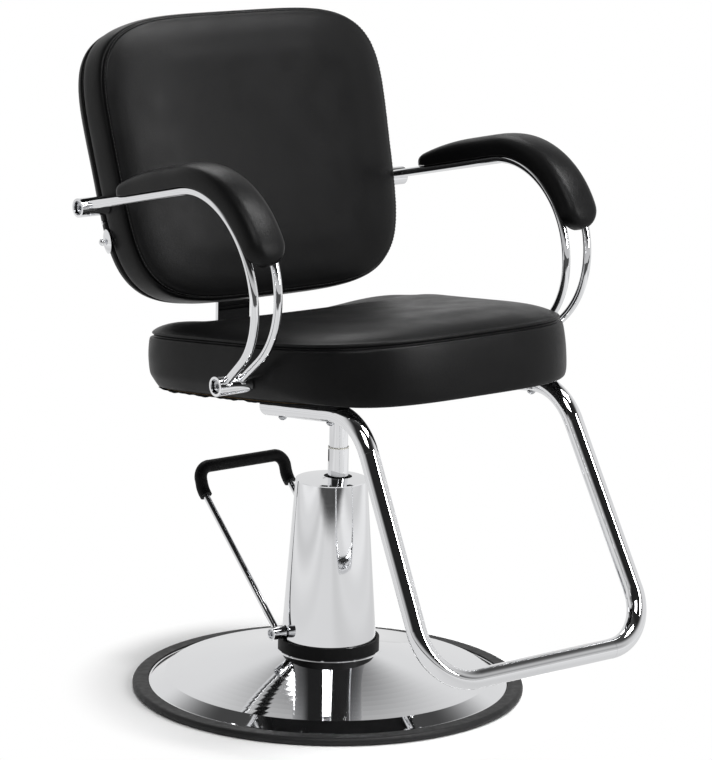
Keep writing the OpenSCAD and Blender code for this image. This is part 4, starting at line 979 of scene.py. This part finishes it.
def soft_lamp(name, place, aim, size, power):
    data = bpy.data.lights.new(name, "AREA")
    data.shape, data.size, data.size_y, data.energy = "RECTANGLE", size[0], size[1], power
    lamp = linked(name, data)
    lamp.location = place
    lamp.rotation_euler = (Vector(aim) - Vector(place)).to_track_quat("-Z", "Y").to_euler()
    lamp.visible_camera = False
    return lamp


def studio_air():
    """White behind the chair and dim before it, as metal and leather mirror it; the light that it gives is even."""
    looks = bpy.context.scene.chair_studio
    world = bpy.data.worlds.new("studio_air")
    bpy.context.scene.world = world
    world.use_nodes = True
    world.node_tree.nodes.clear()
    f = Nodes(world.node_tree)
    rays = f.node("ShaderNodeLightPath").outputs
    heading = f.node("ShaderNodeTexCoord").outputs["Generated"]
    rise = f.along(heading, (0, 0, 1))
    behind = f.spread(f.along(heading, BEHIND), low=0, high=0.8, start=-0.42, end=0.1, kind="SMOOTHSTEP")
    rear = f.maths("MULTIPLY", behind, f.spread(rise, low=1, high=0.08, start=0.42, end=0.8, kind="SMOOTHSTEP"))
    front = f.spread(rise, low=0.6, high=0.02, start=0.1, end=0.34, kind="SMOOTHSTEP")
    mirrored = f.maths("MAXIMUM", rear, front)
    strength = f.maths("MULTIPLY_ADD", rays["Is Glossy Ray"], f.maths("SUBTRACT", mirrored, looks.air), looks.air)
    seen = f.maths("MAXIMUM", rays["Is Camera Ray"], rays["Is Transmission Ray"])
    strength = f.maths("MULTIPLY_ADD", seen, f.maths("SUBTRACT", 1.0, strength), strength)
    air = f.node("ShaderNodeBackground", {"Color": (1, 1, 1, 1)}, {"Strength": strength})
    f.node("ShaderNodeOutputWorld", {}, {"Surface": air.outputs[0]})


def studio_floor():
    """Floor that shows the chair's shadow within 0.3 m of the middle, and none past 0.4 m, where it is plain white;
    mirrored, it darkens 2 m before the chair."""
    looks = bpy.context.scene.chair_studio
    mesh = bpy.data.meshes.new("studio_floor")
    r = FLOOR_HALF
    mesh.from_pydata([(-r, -r, 0), (r, -r, 0), (r, r, 0), (-r, r, 0)], [], [(0, 1, 2, 3)])
    f = Finish("studio_floor")
    f.finish(None, None, None, Base_Color=(*looks.floor, 1), Roughness=0.9, Specular_IOR_Level=0.1)
    rays = f.node("ShaderNodeLightPath").outputs
    reach = f.node("ShaderNodeVectorMath", {"operation": "LENGTH"})
    f.tree.links.new(f.place, reach.inputs[0])
    far = f.spread(reach.outputs["Value"], low=0, high=1, start=0.3, end=0.4, kind="SMOOTHSTEP")
    # Painted reflection: mirrored rays see the far floor dim from 2 m before the chair, in uneven streaks across the
    # view
    before = f.spread(f.along(f.place, BEFORE), low=1, high=0.1, start=2.0, end=2.7, kind="SMOOTHSTEP")
    across = f.node("ShaderNodeCombineXYZ", {}, {"X": f.along(f.place, ACROSS)}).outputs["Vector"]
    before = f.maths("MULTIPLY", before, f.spread(f.noise(1.1, 1, 0.5, across), low=0.62, high=0.98))
    glow = f.node("ShaderNodeEmission", {}, {"Strength": f.maths("MAXIMUM", rays["Is Camera Ray"], before)})
    seen = f.maths("MAXIMUM", rays["Is Camera Ray"], f.maths("MAXIMUM", rays["Is Glossy Ray"],
                                                           rays["Is Transmission Ray"]))
    both = f.node("ShaderNodeMixShader")
    f.tree.links.new(f.maths("MULTIPLY", seen, far), both.inputs[0])
    f.tree.links.new(f.shader.outputs[0], both.inputs[1])
    f.tree.links.new(glow.outputs[0], both.inputs[2])
    f.tree.links.new(both.outputs[0], f.tree.nodes["Material Output"].inputs["Surface"])
    mesh.materials.append(f.material)
    floor = linked("studio_floor", mesh)
    floor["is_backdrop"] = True
    return floor


# Operators


class CHAIR_OT_studio(bpy.types.Operator):
    """Makes the camera, the floor, the white air and the lamps"""

    bl_idname = "chair.studio"
    bl_label = "Studio"

    def execute(self, context):
        context.scene.view_settings.view_transform = "Standard"
        studio_camera()
        studio_air()
        studio_floor()
        for name, (place, size, power) in LAMPS.items():
            soft_lamp(name, place, LAMP_AIM, size, power)
        return {"FINISHED"}


class CHAIR_OT_seat(bpy.types.Operator):
    """Makes the leather seat cushion and the hem of the cloth under it"""

    bl_idname = "chair.seat"
    bl_label = "Seat cushion"

    def execute(self, context):
        make_seat()
        make_hem()
        return {"FINISHED"}


class CHAIR_OT_backrest(bpy.types.Operator):
    """Makes the backrest's leather pieces and their stitches"""

    bl_idname = "chair.backrest"
    bl_label = "Backrest"

    def execute(self, context):
        back, line = make_back()
        stitched("back_stitches", line, back)
        make_rear()
        return {"FINISHED"}


class CHAIR_OT_pads(bpy.types.Operator):
    """Makes the two leather arm pads and the beads at the feet of their rods"""

    bl_idname = "chair.pads"
    bl_label = "Arm pads"

    def execute(self, context):
        make_pad("left_pad_leather", 1)
        make_pad("right_pad_leather", -1)
        make_beads()
        return {"FINISHED"}


NODE_FINISHES = {
    "bright_chrome": (chrome, ["base_pan", "column_cover", "cover_cap", "foot_lever", "ram", "post", "footrest",
                               "footrest_caps", "left_arm", "right_arm", "side_washer", "side_screws", "back_bar"]),
    "zinc_steel": (steel, ["pump_bolts", "gland_nut", "plunger_spring", "lever_shaft", "lever_screws", "lever_rocker",
                           "pump_plunger", "ram_piston", "plate_bolts", "footrest_bolts", "bar_bolts", "pad_screws",
                           "arm_bolts"]),
    "painted_iron": (painted_iron, ["base_plate", "pump_body", "mount_plate"]),
    "matt_rubber": (rubber, ["base_rim"]),
    "black_rubber": (black_rubber, ["wiper_seal", "cover_ring", "lever_grip", "piston_seals"]),
    "turned_bronze": (bronze, ["guide_bush"]),
    "natural_nylon": (nylon, ["thrust_washer"]),
    "birch_plywood": (plywood, ["seat_board", "back_board"]),
    "lining_cloth": (lining_cloth, ["dust_cover"]),
}


class CHAIR_OT_finishes(bpy.types.Operator):
    """Gives each solid of the frame its finish"""

    bl_idname = "chair.finishes"
    bl_label = "Finishes of the solids"

    def execute(self, context):
        for name, (maker, members) in NODE_FINISHES.items():
            material = made(name, maker)
            for member in members:
                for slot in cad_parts[member].material_slots:
                    slot.material = material
        return {"FINISHED"}


class CHAIR_PT_panel(bpy.types.Panel):
    """Lists the pieces of the chair and their sizes and colours"""

    bl_idname = "CHAIR_PT_panel"
    bl_label = "Hairdressing chair"
    bl_space_type = "VIEW_3D"
    bl_region_type = "UI"
    bl_category = "Chair"

    def draw(self, context):
        for operator in OPERATORS:
            self.layout.operator(operator.bl_idname)
        for group in (context.scene.chair_leather, context.scene.chair_metal, context.scene.chair_cushions,
                      context.scene.chair_studio):
            box = self.layout.box()
            for name in group.__annotations__:
                box.prop(group, name)


OPERATORS = (CHAIR_OT_studio, CHAIR_OT_seat, CHAIR_OT_backrest, CHAIR_OT_pads, CHAIR_OT_finishes)
GROUPS = {"chair_leather": LeatherLooks, "chair_metal": MetalLooks, "chair_cushions": CushionSizes,
          "chair_studio": StudioLooks}


def register():
    for group in GROUPS.values():
        bpy.utils.register_class(group)
    for operator in OPERATORS:
        bpy.utils.register_class(operator)
    bpy.utils.register_class(CHAIR_PT_panel)
    for name, group in GROUPS.items():
        setattr(bpy.types.Scene, name, PointerProperty(type=group))


def unregister():
    for name in GROUPS:
        delattr(bpy.types.Scene, name)
    bpy.utils.unregister_class(CHAIR_PT_panel)
    for operator in reversed(OPERATORS):
        bpy.utils.unregister_class(operator)
    for group in reversed(list(GROUPS.values())):
        bpy.utils.unregister_class(group)


def main():
    register()
    bpy.ops.chair.studio()
    bpy.ops.chair.finishes()
    bpy.ops.chair.seat()
    bpy.ops.chair.backrest()
    bpy.ops.chair.pads()
    low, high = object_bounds()
    {"cad": [list(CAD_BOX[0]), list(CAD_BOX[1])], "visual": [list(low), list(high)]}


if __name__ == "__main__":
    main()
